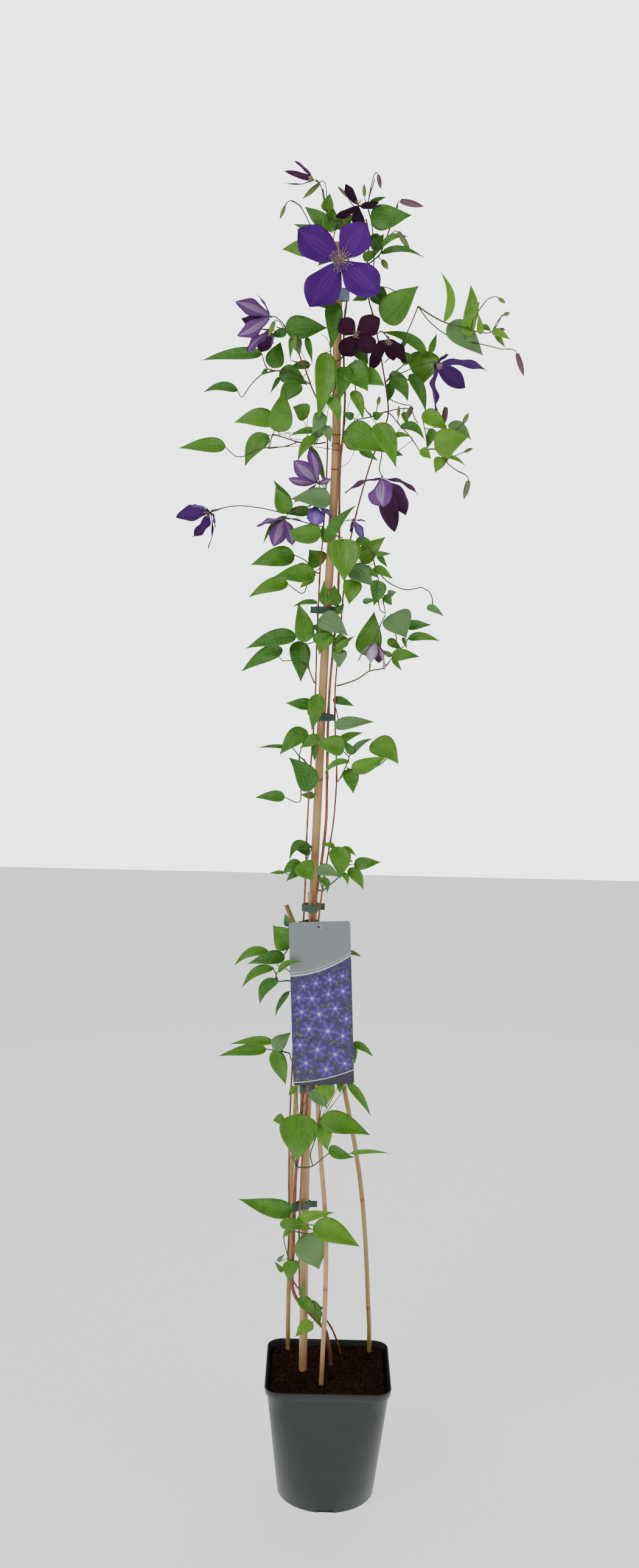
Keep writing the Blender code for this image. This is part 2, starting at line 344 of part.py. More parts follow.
                leaf(20, 642, 56, 591, 12, -10, -14, 3), leaf(8, 643, 8, 626, 9, -8, -10),
                leaf(-6, 541, 32, 527, 17, -26, -28, -3), leaf(27, 533, 88, 534, 6, -24, -28, 3),
                leaf(-58, 634, -69, 621, 10, -12, -10)],
        buds=[]),
    "spray_400": dict(
        stems=[[(-59.5, 412, -6.5), (-64, 418, -12), (-66, 432, -14), (-62, 440, -14)],
               [(-59.5, 412, -6.5), (-52, 408, -20), (-42, 418, -32), (-28, 420, -34)],
               [(-52, 408, -20), (-40, 406, -22)],
               [(-64, 418, -12), (-72, 404, -10), (-68, 380, -10), (-62, 364, -12)]],
        leaves=[leaf(-60, 441, -142, 458, 28, -16, -22, -2), leaf(-78, 421, -27, 412, 17, -34, -38, 3),
                leaf(-52, 427, 5, 440, 15, -36, -38, 2), leaf(-27, 419, 44, 387, 35, -36, -44, 4),
                leaf(-38, 406, -16, 350, 50, -20, -14, 0), leaf(-62, 412, -73, 399, 8, -14, -16),
                leaf(-60, 363, -63, 330, 22, -14, -20), leaf(-72, 345, -85, 361, 7, -14, -16),
                leaf(-80, 361, -70, 373, 6, -12, -12), leaf(-54, 363, -45, 347, 7, -14, -16)],
        buds=[]),
    "spray_300": dict(
        stems=[[(-39, 300, -9), (-40, 304, -14), (-42, 308, -14)],
               [(-40, 304, -14), (-20, 296, -14), (-8, 286, -12)]],
        leaves=[leaf(-46, 305, -21, 276, 19, -16, -18, 2), leaf(-28, 301, -14, 261, 14, -14, -12, 3),
                leaf(-25, 266, -51, 242, 19, -14, -20, 2), leaf(-18, 286, -7, 291, 4, -12, -12),
                leaf(-42, 310, -39, 333, 6, -14, -12)],
        buds=[]),
}

# Blooms: the stalk's route ends at the heart, axis is where the bloom faces, and each sepal is
# its tip (x, z, y) with its width and how far its middle bulges outwards.
BLOOMS = {
    "bloom_top_left": dict(
        stalk=[(-19, 1900, 21.5), (-36, 1898, 28), (-44, 1922, 22), (-49, 1946, 20), (-54, 1955, 20)],
        heart=(-59, 1957, 20), axis=(-1, -0.2, 0.15), tone="pink",
        sepals=[(-103, 1952, 12, 9, 0.09), (-103, 1969, 26, 8, 0.08), (-89, 1984, 18, 9, 0.06),
                (-92, 1966, 38, 9, 0.1)]),
    "bloom_top": dict(
        stalk=[(-13, 1905, 14.2), (-8, 1907, 8), (-2, 1914, 4), (2, 1921, 0)],
        heart=(3, 1923, -2), axis=(0.15, -0.8, 0.5), tone="dusk",
        sepals=[(-16, 1953, -6, 15, 0.05), (-29, 1905, -16, 13, 0.08), (33, 1927, -14, 16, 0.08),
                (6, 1884, -18, 19, 0.05)]),
    "bloom_main": dict(
        stalk=[(-12, 1826, 1.3), (-16, 1834, -8), (-19, 1842, -18), (-20, 1845, -24)],
        heart=(-20, 1846, -28), axis=(0.02, -1, 0.06), tone="violet",
        sepals=[(-83, 1888, -44, 50, 0.05), (15, 1900, -42, 46, 0.05), (-63, 1780, -46, 50, 0.05),
                (36, 1801, -44, 50, 0.05)]),
    "bloom_maroon": dict(
        stalk=[(-9.5, 1768, -0.6), (-4, 1762, -8), (2, 1752, -16), (4, 1745, -22)],
        heart=(4, 1743, -25), axis=(0.05, -1, -0.1), tone="maroon",
        sepals=[(-19, 1764, -34, 27, 0.05), (38, 1768, -32, 30, 0.06), (33, 1721, -36, 27, 0.06),
                (-14, 1712, -36, 28, 0.06)]),
    "bloom_maroon_low": dict(
        stalk=[(35.3, 1745, 17.5), (38, 1748, 8), (42, 1749, -2), (48, 1743, -8)],
        heart=(52, 1739, -10), axis=(-0.1, -0.6, -0.8), tone="maroon",
        sepals=[(26, 1713, -26, 16, 0.1), (25, 1692, -14, 18, 0.1), (78, 1706, -24, 22, 0.1),
                (60, 1708, 6, 20, 0.1)]),
    "bloom_left_upper": dict(
        stalk=[(-101, 1758.5, 28), (-106, 1762, 20), (-112, 1766, 8), (-116, 1766, 0)],
        heart=(-119, 1766, -2), axis=(-0.9, 0.4, 0.1), tone="lilac",
        sepals=[(-169, 1786, -10, 25, 0.1), (-165, 1738, -12, 27, 0.1), (-138, 1797, 10, 11, 0.08),
                (-160, 1762, 22, 24, 0.1)]),
    "bloom_left_lower": dict(
        stalk=[(-96, 1747, 31.8), (-104, 1740, 34), (-110, 1744, 26), (-114, 1748, 14)],
        heart=(-117, 1748, 10), axis=(-0.6, -0.1, -0.8), tone="lilac",
        sepals=[(-166, 1741, 2, 12, 0.08), (-151, 1716, 0, 28, 0.1), (-115, 1727, 4, 13, 0.12),
                (-134, 1716, 32, 22, 0.12)]),
    "bloom_right": dict(
        stalk=[(51, 1680.5, 20), (70, 1690, 18), (92, 1700, 14), (108, 1706, 0), (117, 1707, -8)],
        heart=(121, 1706, -10), axis=(0.75, -0.3, -0.6), tone="blue",
        sepals=[(195, 1699, -22, 24, 0.1), (123, 1639, -22, 46, 0.08), (139, 1719, -4, 10, 0.08),
                (164, 1672, 22, 26, 0.1)]),
    "bloom_far_left": dict(
        stalk=[(-38, 1484, 0.5), (-52, 1486, 8), (-74, 1485, 12), (-100, 1489, 14), (-125, 1494, 14),
               (-155, 1497, 12), (-175, 1495, 8), (-192, 1490, 2)],
        heart=(-200, 1488, 0), axis=(-0.8, -0.35, -0.5), tone="blue",
        sepals=[(-250, 1479, 6, 26, 0.1), (-224, 1450, -4, 30, 0.12), (-203, 1434, -14, 11, 0.1),
                (-228, 1494, -18, 22, 0.16), (-194, 1464, -18, 20, 0.12)]),
    "bloom_1545": dict(
        stalk=[(-34.3, 1515, -0.9), (-34, 1522, -6), (-38, 1529, -10), (-42, 1531, -14)],
        heart=(-46, 1532, -16), axis=(-0.6, 0.6, 0.5), tone="lilac",
        sepals=[(-81, 1563, -24, 24, 0.1), (-58, 1581, -12, 22, 0.1), (-89, 1537, -18, 14, 0.1),
                (-80, 1503, -26, 10, 0.08), (-26, 1538, -16, 12, 0.1)]),
    "bloom_1460": dict(
        stalk=[(-38.5, 1470, 0.5), (-50, 1472, 2), (-66, 1476, -2), (-84, 1480, -10)],
        heart=(-92, 1480, -12), axis=(-0.3, 0.3, -0.9), tone="lilac",
        sepals=[(-133, 1468, -18, 17, 0.1), (-108, 1440, -26, 25, 0.1), (-80, 1441, -22, 23, 0.1),
                (-66, 1478, -16, 9, 0.06)]),
    "bloom_1485": dict(
        stalk=[(-37.5, 1493, 0.5), (-40, 1497, -4), (-44, 1500, -10)],
        heart=(-46, 1499, -13), axis=(-0.1, 0.2, -0.95), tone="blue",
        sepals=[(-48, 1470, -24, 26, 0.12), (-24, 1484, -22, 19, 0.12), (-60, 1488, -16, 14, 0.12)]),
    "bloom_1475_right": dict(
        stalk=[(4.7, 1463, 12.5), (4, 1472, 6), (6, 1479, 2)],
        heart=(8, 1480, 0), axis=(0.3, 0.1, -0.9), tone="blue",
        sepals=[(25, 1479, -8, 11, 0.1), (22, 1453, -4, 14, 0.1), (-6, 1478, -6, 10, 0.1),
                (4, 1462, 6, 12, 0.1)]),
    "bloom_wide": dict(
        stalk=[(36.6, 1581, 15), (46, 1580, 8), (45, 1566, 2), (43, 1553, -4), (47, 1545, -8)],
        heart=(48, 1541, -10), axis=(0.25, -0.15, -0.95), tone="lilac",
        sepals=[(-6, 1519, -4, 22, 0.12), (101, 1520, -10, 20, 0.14), (50, 1500, -34, 42, 0.16),
                (84, 1489, 12, 30, 0.14), (68, 1464, -2, 27, 0.1)]),
    "bloom_low": dict(
        stalk=[(57.5, 1344.5, -10), (52, 1332, -12), (46, 1316, -12), (44, 1308, -10)],
        heart=(44, 1304, -10), axis=(0.0, -0.1, -1), tone="white",
        sepals=[(19, 1276, -14, 17, 0.12), (59, 1264, -18, 22, 0.12), (38, 1275, -28, 18, 0.14),
                (50, 1274, 8, 20, 0.12)]),
}

# Ties: the strap's height, the canes and vines that it goes round, and its tab's side and length.
TIES = {
    "tie_1800": (1800, 18, ("cane_main", "vine_main"), (-1, 4)),
    "tie_1349": (1349, 11, ("cane_main", "vine_main", "vine_left"), (-1, 9)),
    "tie_1192": (1192, 11, ("cane_main", "vine_main"), (1, 6)),
    "tie_908": (908, 11, ("cane_main", "cane_front", "vine_main", "vine_left"), (1, 9)),
    "tie_885": (883, 9, ("cane_main", "cane_front", "vine_main", "vine_left"), (-1, 4)),
    "tie_632": (632, 12, ("cane_main", "vine_main"), (1, 8)),
    "tie_448": (448, 11, ("cane_main", "vine_main"), (1, 10)),
}


# Finishes: name, colour as sRGB, roughness.
FINISHES = {
    "pot_plastic": ("3b413f", 0.5), "potting_soil": ("2d1a14", 0.95), "bamboo": ("b98f5c", 0.6),
    "cane_tan": ("a8854f", 0.6), "tie_plastic": ("43584c", 0.45), "label_card": ("6b6f74", 0.4),
    "vine_bark": ("7a3f28", 0.7), "leaf_green": ("4f8f2a", 0.5), "violet": ("4b2a9b", 0.6),
    "maroon": ("3a0f3a", 0.6), "lilac": ("8a6ab5", 0.6), "blue": ("6a55b0", 0.6),
    "pink": ("8f6f8a", 0.6), "dusk": ("4a2a4a", 0.6), "white": ("b9a9cf", 0.6)}


def linear(channel):
    return channel / 12.92 if channel <= 0.04045 else ((channel + 0.055) / 1.055) ** 2.4


def finish(name):
    """The material of a finish, made once."""
    if name in bpy.data.materials:
        return bpy.data.materials[name]
    colour, roughness = FINISHES[name]
    material = bpy.data.materials.new(name)
    material.use_nodes = True
    shader = material.node_tree.nodes["Principled BSDF"]
    rgb = [linear(int(colour[i:i + 2], 16) / 255) for i in (0, 2, 4)]
    shader.inputs["Base Color"].default_value = (*rgb, 1)
    shader.inputs["Roughness"].default_value = roughness
    shader.inputs["Metallic"].default_value = 0.0
    return material


def new_object(name, mesh, collection, material=None):
    item = bpy.data.objects.new(name, mesh)
    collection.objects.link(item)
    if material:
        mesh.materials.clear()
        mesh.materials.append(finish(material))
    return item


WELD = 1e-7


def applied(item):
    """The item's evaluated mesh, welded, in world space, in place of the item."""
    bpy.context.view_layer.update()
    graph = bpy.context.evaluated_depsgraph_get()
    mesh = bpy.data.meshes.new_from_object(item.evaluated_get(graph))
    shape = bmesh.new()
    shape.from_mesh(mesh)
    if item.type == "CURVE":
        bmesh.ops.remove_doubles(shape, verts=shape.verts, dist=WELD)
    bmesh.ops.triangulate(shape, faces=shape.faces)
    shape.to_mesh(mesh)
    shape.free()
    mesh.transform(item.matrix_world)
    name = item.name
    collection = item.users_collection[0]
    bpy.data.objects.remove(item)
    return new_object(name, mesh, collection)


def tube(name, points, radii, resolution, collection):
    """A round rod through points, as a curve made a mesh: four sides and two for each step of
    resolution, or a slim rod of three sides where resolution is None."""
    curve = bpy.data.curves.new(name, "CURVE")
    curve.dimensions = "3D"
    if resolution is None:
        curve.bevel_mode = "OBJECT"
        curve.bevel_object = three_sides(collection)
    else:
        curve.bevel_depth = 1.0
        curve.bevel_resolution = resolution
    curve.use_fill_caps = True
    spline = curve.splines.new("POLY")
    spline.points.add(len(points) - 1)
    for knot, place, radius in zip(spline.points, points, radii):
        knot.co = (*place, 1)
        knot.radius = radius * MM
    return applied(new_object(name, curve, collection))


def three_sides(collection):
    """The round rod's section for slim stems: a triangle of unit radius."""
    if "three_sides" in bpy.data.objects:
        return bpy.data.objects["three_sides"]
    section = bpy.data.curves.new("three_sides", "CURVE")
    spline = section.splines.new("POLY")
    spline.points.add(2)
    spline.use_cyclic_u = True
    for k, knot in enumerate(spline.points):
        angle = -2 * math.pi * k / 3
        knot.co = (1.2 * math.cos(angle), 1.2 * math.sin(angle), 0, 1)
    guide = new_object("three_sides", section, collection)
    guide.hide_render = True
    guide.display_type = "WIRE"
    return guide


def smooth_route(points, step):
    """Points along a smooth curve through a route, about step apart, in metres."""
    route = []
    last = len(points) - 1
    for i in range(last):
        before, start, end, after = (points[max(i - 1, 0)], points[i], points[i + 1],
                                     points[min(i + 2, last)])
        pieces = max(1, round((end - start).length / step))
        for k in range(pieces):
            t = k / pieces
            route.append(0.5 * (2 * start + (end - before) * t
                                + (2 * before - 5 * start + 4 * end - after) * t ** 2
                                + (3 * start - before - 3 * end + after) * t ** 3))
    return route + [points[-1]]


def taper(count, first, last):
    return [first + (last - first) * i / (count - 1) for i in range(count)]


def fused(name, pieces, collection, material, solver="MANIFOLD"):
    """All the pieces joined in one closed body, as the node of that name."""
    body, others = pieces[0], pieces[1:]
    body.name = name
    if others:
        group = bpy.data.collections.new("joined")
        for item in others:
            group.objects.link(item)
        join = body.modifiers.new("join", "BOOLEAN")
        join.operation = "UNION"
        join.operand_type = "COLLECTION"
        join.collection = group
        join.solver = solver
        body = applied(body)
        tidied(body)
        for item in others:
            bpy.data.objects.remove(item)
        bpy.data.collections.remove(group)
    body.name = name
    for owner in list(body.users_collection):
        owner.objects.unlink(body)
    collection.objects.link(body)
    body.data.materials.clear()
    body.data.materials.append(finish(material))
    body.data.shade_smooth()
    body.data.set_sharp_from_angle(angle=math.radians(35))
    return body


def least_height(shape):
    """The least height of any triangle of the shape over its longest side."""
    least = 1.0
    for face in shape.faces:
        longest = max(edge.calc_length() for edge in face.edges)
        least = min(least, 2 * face.calc_area() / longest if longest else 0.0)
    return least


def tidied(body):
    """The body's slivers melted into their neighbours, by the try that leaves the fewest needles."""
    start = bmesh.new()
    start.from_mesh(body.data)
    volume = start.calc_volume()
    best, best_score = None, least_height(start)
    for angle in TIDY_ANGLES:
        for dist in TIDY_DISTANCES:
            shape = start.copy()
            if angle:
                bmesh.ops.dissolve_limit(shape, angle_limit=math.radians(angle), verts=shape.verts,
                                         edges=shape.edges)
            bmesh.ops.triangulate(shape, faces=shape.faces)
            for _ in range(3):
                bmesh.ops.dissolve_degenerate(shape, dist=dist, edges=shape.edges)
                bmesh.ops.triangulate(shape, faces=shape.faces)
            closed = all(len(edge.link_faces) == 2 for edge in shape.edges)
            if closed and abs(shape.calc_volume() - volume) < 0.01 * volume:
                score = min(least_height(shape), 3e-6) - 1e-9 * len(shape.faces)
                if best is None or score > best_score:
                    best, best_score = shape, score
    if best:
        best.to_mesh(body.data)


TIDY_ANGLES = (2.0, 1.0, 0.0)
TIDY_DISTANCES = (8e-5, 4e-5, 2e-5, 1e-5, 3e-6)


def cut(body, cutters):
    """The body with every cutter taken out of it."""
    for cutter in cutters:
        cutter.hide_render = True
        cutter.display_type = "WIRE"
        bite = body.modifiers.new("cut", "BOOLEAN")
        bite.operation = "DIFFERENCE"
        bite.object = cutter
        bite.solver = "EXACT"
    return body


# Blades: a leaf's rim at each step s from its foot to its tip.
LEAF_STEPS = (0.0, 0.13, 0.34, 0.66, 1.0)
SMALL_STEPS = (0.0, 0.25, 0.6, 1.0)
SEPAL_STEPS = (0.0, 0.4, 0.62, 0.84, 1.0)
SLIM_STEPS = (0.0, 0.42, 0.76, 1.0)
SLIM_COUNT = 4


def leaf_rim(s):
    """How far along and how wide a leaf is at step s: a round foot, widest low, a drawn-out tip."""
    return s - 0.12 * math.sin(math.pi * s) * (1 - s) ** 3, math.sin(math.pi * s ** 0.6) ** 1.1


def sepal_rim(s):
    """How far along and how wide a sepal is at step s: narrow foot, broad past the middle."""
    wide = math.sin(math.pi * min(s, 1.0) ** 1.25) ** 0.8 if 0 < s < 1 else 0.0
    return s, wide


def facing(along, view, roll):
    """A blade's face direction: towards view, square to its length, turned by roll degrees."""
    face = (view - along * view.dot(along)).normalized()
    face.rotate(Quaternion(along, math.radians(roll)))
    return face


def arch_side(along, face):
    """The direction across the blade that points up, or to the right on an upright blade."""
    side = along.cross(face)
    return side if side.dot(Vector((0.3, 0.0, 1.0))) > 0 else -side


def blade(name, foot, tip, face, shape, collection, stalk=()):
    """A thin blade from foot to tip, with a flat stalk along the given points, as one solid.

    A broad blade is folded along its middle; a slim one, with few steps, is a plain strip."""
    steps, rim, width, lift, cup, fold, root = shape
    length = (tip - foot).length
    along = (tip - foot).normalized()
    side = along.cross(face)
    up = arch_side(along, face)
    folded = len(steps) > SLIM_COUNT

    def place(u, v):
        bulge = math.sin(math.pi * min(max(u, 0.0), 1.0))
        return (foot + along * (length * u) + side * v + up * (lift * bulge)
                + face * (cup * length * bulge + fold * abs(v)))

    sheet = bmesh.new()
    half_root = root / 2
    rows = [[knot + side * (sign * 0.35 * MM) for sign in (-1, 1)] for knot in stalk]
    rows.append([place(0, -half_root), place(0, half_root)])
    if folded:
        rows[-1].insert(1, place(0, 0))
    for s in steps[1:-1]:
        u, v = rim(s)
        reach = half_root + (width / 2 - half_root) * v
        rows.append([place(u, -reach), place(u, reach)])
        if folded:
            rows[-1].insert(1, place(s, 0))
    rows.append([place(1, 0)])
    knots = [[sheet.verts.new(place) for place in row] for row in rows]
    for low, high in zip(knots, knots[1:]):
        stitch(sheet, low, high)
    bmesh.ops.recalc_face_normals(sheet, faces=sheet.faces)
    mesh = bpy.data.meshes.new(name)
    sheet.to_mesh(mesh)
    sheet.free()
    item = new_object(name, mesh, collection)
    skin = item.modifiers.new("thickness", "SOLIDIFY")
    skin.thickness = BLADE * MM
    skin.offset = 0.0
    return applied(item)


def stitch(sheet, low, high):
    """Triangles between two rows of one, two or three vertices, alike on both halves."""
    if len(low) == 3 and len(high) == 3:
        for a, b in ((0, 1), (2, 1)):
            sheet.faces.new([low[a], low[b], high[b]])
            sheet.faces.new([low[a], high[b], high[a]])
    elif len(high) == 1:
        for a, b in zip(low, low[1:]):
            sheet.faces.new([a, b, high[0]])
    elif len(high) == 3:
        sheet.faces.new([low[0], high[1], high[0]])
        sheet.faces.new([low[0], low[1], high[1]])
        sheet.faces.new([low[1], high[2], high[1]])
    else:
        sheet.faces.new([low[0], low[1], high[0]])
        sheet.faces.new([low[1], high[1], high[0]])


def nearest(point, routes):
    """The place on the routes that is closest to the point, short of each route's very end."""
    best = None
    for route in routes:
        for start, end in zip(route, route[1:]):
            run = end - start
            most = 1 - 0.9 * MM / run.length if end is route[-1] else 1.0
            t = min(max((point - start).dot(run) / run.length_squared, 0.0), most)
            place = start + run * t
            if best is None or (place - point).length < (best - point).length:
                best = place
    return best


def leaf_solid(row, routes, collection):
    foot = seen(*row.foot, row.depth[0])
    tip = seen(*row.tip, row.depth[1])
    along = (tip - foot).normalized()
    face = facing(along, EYE - foot, row.roll)
    length = (tip - foot).length
    small = length < LARGE_LEAF * MM
    start = nearest(foot, routes)
    stalk = [start]
    shape = (SMALL_STEPS if small else LEAF_STEPS, leaf_rim, row.width * MM, row.lift * MM,
             row.cup, 0.22, STALK_WIDTH * MM)
    if (foot - start).length < 2.5 * MM:
        foot, stalk = start - along * 0.4 * MM, []
    return blade("leaf", foot, tip, face, shape, collection, stalk)


def bud_solid(row, routes, collection):
    """A bud's stalk and its spindle, as one rod."""
    points = [seen(*p) for p in row.stalk]
    points[0] = nearest(points[0], routes)
    neck, tip = points[-1], seen(*row.tip)
    points += [neck.lerp(tip, t) for t in (0.15, 0.5, 1.0)]
    half = row.width / 2
    radii = [0.8] * len(row.stalk) + [0.8 * half, half, 0.15]
    return tube("bud", points, radii, None, collection)


LEAST_LEAF = 32.0
LARGE_LEAF = 66.0
DEPTH_TRIES = (0, 4, -4, 8, -8, 13, -13, 18, -18, 24, -24)
CLEARANCE = 0.35
placed = []


def outline_of(item, margin=0.0):
    """An item's box and search tree, swollen by the margin, to tell what crosses it."""
    corners = [v.co + v.normal * margin for v in item.data.vertices]
    tree = BVHTree.FromPolygons(corners, [p.vertices[:] for p in item.data.polygons])
    low = [min(c[i] for c in corners) for i in range(3)]
    high = [max(c[i] for c in corners) for i in range(3)]
    return low, high, tree


def crossed(shape, others):
    """Whether the shape meets any of the others."""
    low, high, tree = shape
    for other_low, other_high, other in others:
        apart = any(low[i] > other_high[i] or other_low[i] > high[i] for i in range(3))
        if not apart and tree.overlap(other):
            return True
    return False


def settled_leaf(row, routes, own, scratch):
    """The leaf, moved towards or away from the viewer until it clears all that stands there."""
    for shift in DEPTH_TRIES:
        moved = row._replace(depth=(row.depth[0] + shift, row.depth[1] + shift))
        item = leaf_solid(moved, routes, scratch)
        shape = outline_of(item, CLEARANCE * MM)
        if not crossed(shape, placed) and not crossed(shape, own):
            own.append(outline_of(item))
            return item
        bpy.data.objects.remove(item)
    return None


def rooted(route, carriers):
    """The route with its foot square to the nearest carrier, a hair off its skin."""
    look = route[0] + (route[1] - route[0]).normalized() * 3 * MM
    hits = [tree.find_nearest(look) for low, high, tree in carriers]
    place, normal = min(hits, key=lambda hit: hit[3])[:2]
    return [place + normal * 0.45 * MM, place + normal * 2.2 * MM] + route[1:]


def stems(row, carriers, scratch):
    """A spray's stem routes, and the rods along them."""
    routes = [[seen(*p) for p in route] for route in row["stems"]]
    foot = routes[0][0].copy()
    routes[0] = rooted(routes[0], carriers)
    for route in routes[1:]:
        if (route[0] - foot).length < 0.1 * MM:
            route[0] = routes[0][1]
    rods = []
    for i, route in enumerate(routes):
        thick = 1.25 if i == 0 else 1.0
        rods.append(tube("stem", route, taper(len(route), thick, 0.85), None, scratch))
    return routes, rods


def spray(name, row, routes, pieces, collection, scratch):
    pieces += [bud_solid(bud, routes, scratch) for bud in row["buds"]]
    own = []
    for leaf_row in row["leaves"]:
        if math.dist(leaf_row.foot, leaf_row.tip) >= LEAST_LEAF:
            item = settled_leaf(leaf_row, routes, own, scratch)
            if item:
                pieces.append(item)
    return fused(name, pieces, collection, "leaf_green")


def bloom(name, row, carriers, collection, scratch):
    heart = seen(*row["heart"])
    axis = Vector(row["axis"]).normalized()
    route = rooted([seen(*p) for p in row["stalk"]] + [heart - axis * 0.001], carriers)
    radii = [0.9] * (len(route) - 1) + [2.4]
    route += [heart + axis * reach for reach in (0.003, 0.010, 0.015)]
    radii += [3.2, 2.4, 0.8]
    pieces = [tube("stalk", route, radii, None, scratch)]
    for x, z, y, width, cup in row["sepals"]:
        tip = seen(x, z, y)
        along = (tip - heart).normalized()
        face = facing(along, -axis, 0)
        steps = SEPAL_STEPS if width > 21 else SLIM_STEPS
        shape = (steps, sepal_rim, width * MM, 0.0, cup, -0.12, 2.2 * MM)
        pieces.append(blade("sepal", heart + along * (1.2 * MM), tip, face, shape, scratch))
    if name == "bloom_main":
        pieces += stamens(heart, axis, scratch)
    return fused(name, pieces, collection, row["tone"])


STAMENS = 12


def stamens(heart, axis, scratch):
    """A ring of stamens that spread from the boss."""
    across = axis.orthogonal().normalized()
    rods = []
    for i in range(STAMENS):
        out = across.copy()
        out.rotate(Quaternion(axis, 2 * math.pi * i / STAMENS))
        points = [heart + axis * 0.004, heart + axis * 0.010 + out * 0.017]
        rods.append(tube("stamen", points, [0.7, 0.5], 0, scratch))
    return rods


# Pot and soil: rings of a square with round corners, which turns round towards the base.
CORNER_POINTS = 5


def ring(shape, half, corner, z):
    """A ring of vertices of a square, half wide, with corners of that radius, at height z."""
    verts = []
    for quarter in range(4):
        for k in range(CORNER_POINTS):
            angle = math.radians(90 * quarter + 90 * k / (CORNER_POINTS - 1))
            turn = math.radians(90 * quarter + 45)
            inset = half - corner
            x = math.copysign(inset, math.cos(turn)) + corner * math.cos(angle)
            y = math.copysign(inset, math.sin(turn)) + corner * math.sin(angle)
            verts.append(shape.verts.new((x * MM, y * MM, z * MM)))
    return verts


def bridged(shape, first, second):
    """A band between two rings, its triangles cut alike inside and outside."""
    low, high = sorted((first, second), key=lambda ring: ring[0].co.z)
    for i in range(len(low)):
        j = (i + 1) % len(low)
        shape.faces.new([low[i], low[j], high[j]])
        shape.faces.new([low[i], high[j], high[i]])


def pot_section(z, inset=0.0):
    """Half width and corner radius of the pot's outside at height z, moved in by inset."""
    t = z / POT_HEIGHT
    half = POT_BASE / 2 + (POT_TOP / 2 - 3.0 - POT_BASE / 2) * t
    corner = POT_BASE / 2 + (22.0 - POT_BASE / 2) * t
    return half - inset, max(corner - inset, 4.0)


def pot(collection, scratch):
    shape = bmesh.new()
    profile = [pot_section(0)] + [pot_section(90)]
    heights = [0, 90]
    lip_base = POT_HEIGHT - POT_LIP
    profile += [pot_section(lip_base), pot_section(lip_base, -2.6), pot_section(POT_HEIGHT, -3.0)]
    heights += [lip_base, lip_base + 0.8, POT_HEIGHT]
    profile += [pot_section(POT_HEIGHT, -0.6), pot_section(lip_base, POT_WALL)]
    heights += [POT_HEIGHT, lip_base]
    for z in (90, 2.4):
        profile.append(pot_section(z, POT_WALL))
        heights.append(z)
    rings = [ring(shape, half, corner, z) for (half, corner), z in zip(profile, heights)]
    for lower, upper in zip(rings, rings[1:]):
        bridged(shape, lower, upper)
    shape.faces.new(rings[0][::-1])
    shape.faces.new(rings[-1])
    bmesh.ops.recalc_face_normals(shape, faces=shape.faces)
    mesh = bpy.data.meshes.new("pot")
    shape.to_mesh(mesh)
    shape.free()
    body = new_object("pot", mesh, scratch)
    cutters = []
    for i in range(4):
        angle = math.radians(90 * i)
        reach = POT_BASE / 2
        cutters.append(box("drain", (reach * math.cos(angle), reach * math.sin(angle), 1.5),
                           (7.0, 24.0, 7.0), angle, scratch))
    for side in (-1, 1):
        cutters.append(box("rim_slot", (side * POT_TOP / 2, 0, lip_base - 1.5), (16, 3, 3), 0, scratch))
    body = applied(cut(body, cutters))
    for cutter in cutters:
        bpy.data.objects.remove(cutter)
    return fused("pot", [body], collection, "pot_plastic")


def box(name, centre, size, angle, collection):
    shape = bmesh.new()
    bmesh.ops.create_cube(shape, size=1.0)
    bmesh.ops.scale(shape, verts=shape.verts, vec=[s * MM for s in size])
    bmesh.ops.rotate(shape, verts=shape.verts, matrix=Matrix.Rotation(angle, 3, "Z"))
    bmesh.ops.translate(shape, verts=shape.verts, vec=[c * MM for c in centre])
    mesh = bpy.data.meshes.new(name)
    shape.to_mesh(mesh)
    shape.free()
    return new_object(name, mesh, collection)


def soil_height(x, y):
    """The soil's height in mm: higher at the back, with low lumps."""
    lump = 1.6 * math.sin(x / 11 + 1) * math.cos(y / 13) + 1.1 * math.sin(x / 5.3 + y / 7.1)
    return SOIL_LEVEL + 0.055 * y + lump


def soil(collection, scratch, rods):
    """The soil's block, with a plain hole for each cane and vine that stands in it."""
    shape = bmesh.new()
    inset = POT_WALL + 0.7
    heights = (2.4 + GAP, 90)
    rings = [ring(shape, *pot_section(z, inset), z) for z in heights]
    for shrink in (1.0, 0.72, 0.36):
        half, corner = pot_section(SOIL_LEVEL - 12, inset)
        top = ring(shape, half * shrink, corner * shrink, SOIL_LEVEL)
        for vert in top:
            vert.co.z = (soil_height(vert.co.x / MM, vert.co.y / MM) - (2 if shrink == 1 else 0)) * MM
        rings.append(top)
    for lower, upper in zip(rings, rings[1:]):
        bridged(shape, lower, upper)
    shape.faces.new(rings[0][::-1])
    crest = shape.verts.new((0, 0, soil_height(0, 0) * MM))
    for i, vert in enumerate(rings[-1]):
        shape.faces.new([vert, rings[-1][(i + 1) % len(rings[-1])], crest])
    bmesh.ops.recalc_face_normals(shape, faces=shape.faces)
    mesh = bpy.data.meshes.new("soil")
    shape.to_mesh(mesh)
    shape.free()
    body = new_object("soil", mesh, scratch)
    cutters = [tube("hole", [low, top], [radius, radius], 2, scratch) for low, top, radius in rods]
    body = applied(cut(body, cutters))
    for cutter in cutters:
        bpy.data.objects.remove(cutter)
    return fused("soil", [body], collection, "potting_soil")


def cane(name, table, radius, resolution, collection, scratch, material):
    points = [seen(*p) for p in table]
    item = tube(name, points, [radius] * len(points), resolution, scratch)
    return fused(name, [item], collection, material)


def vine(name, table, radii, carriers, collection, scratch):
    points = smooth_route([seen(*p) for p in table], 0.12)
    if name == "vine_right":
        points = rooted(points, carriers)
    item = tube(name, points, taper(len(points), *radii), 0, scratch)
    return fused(name, [item], collection, "vine_bark")


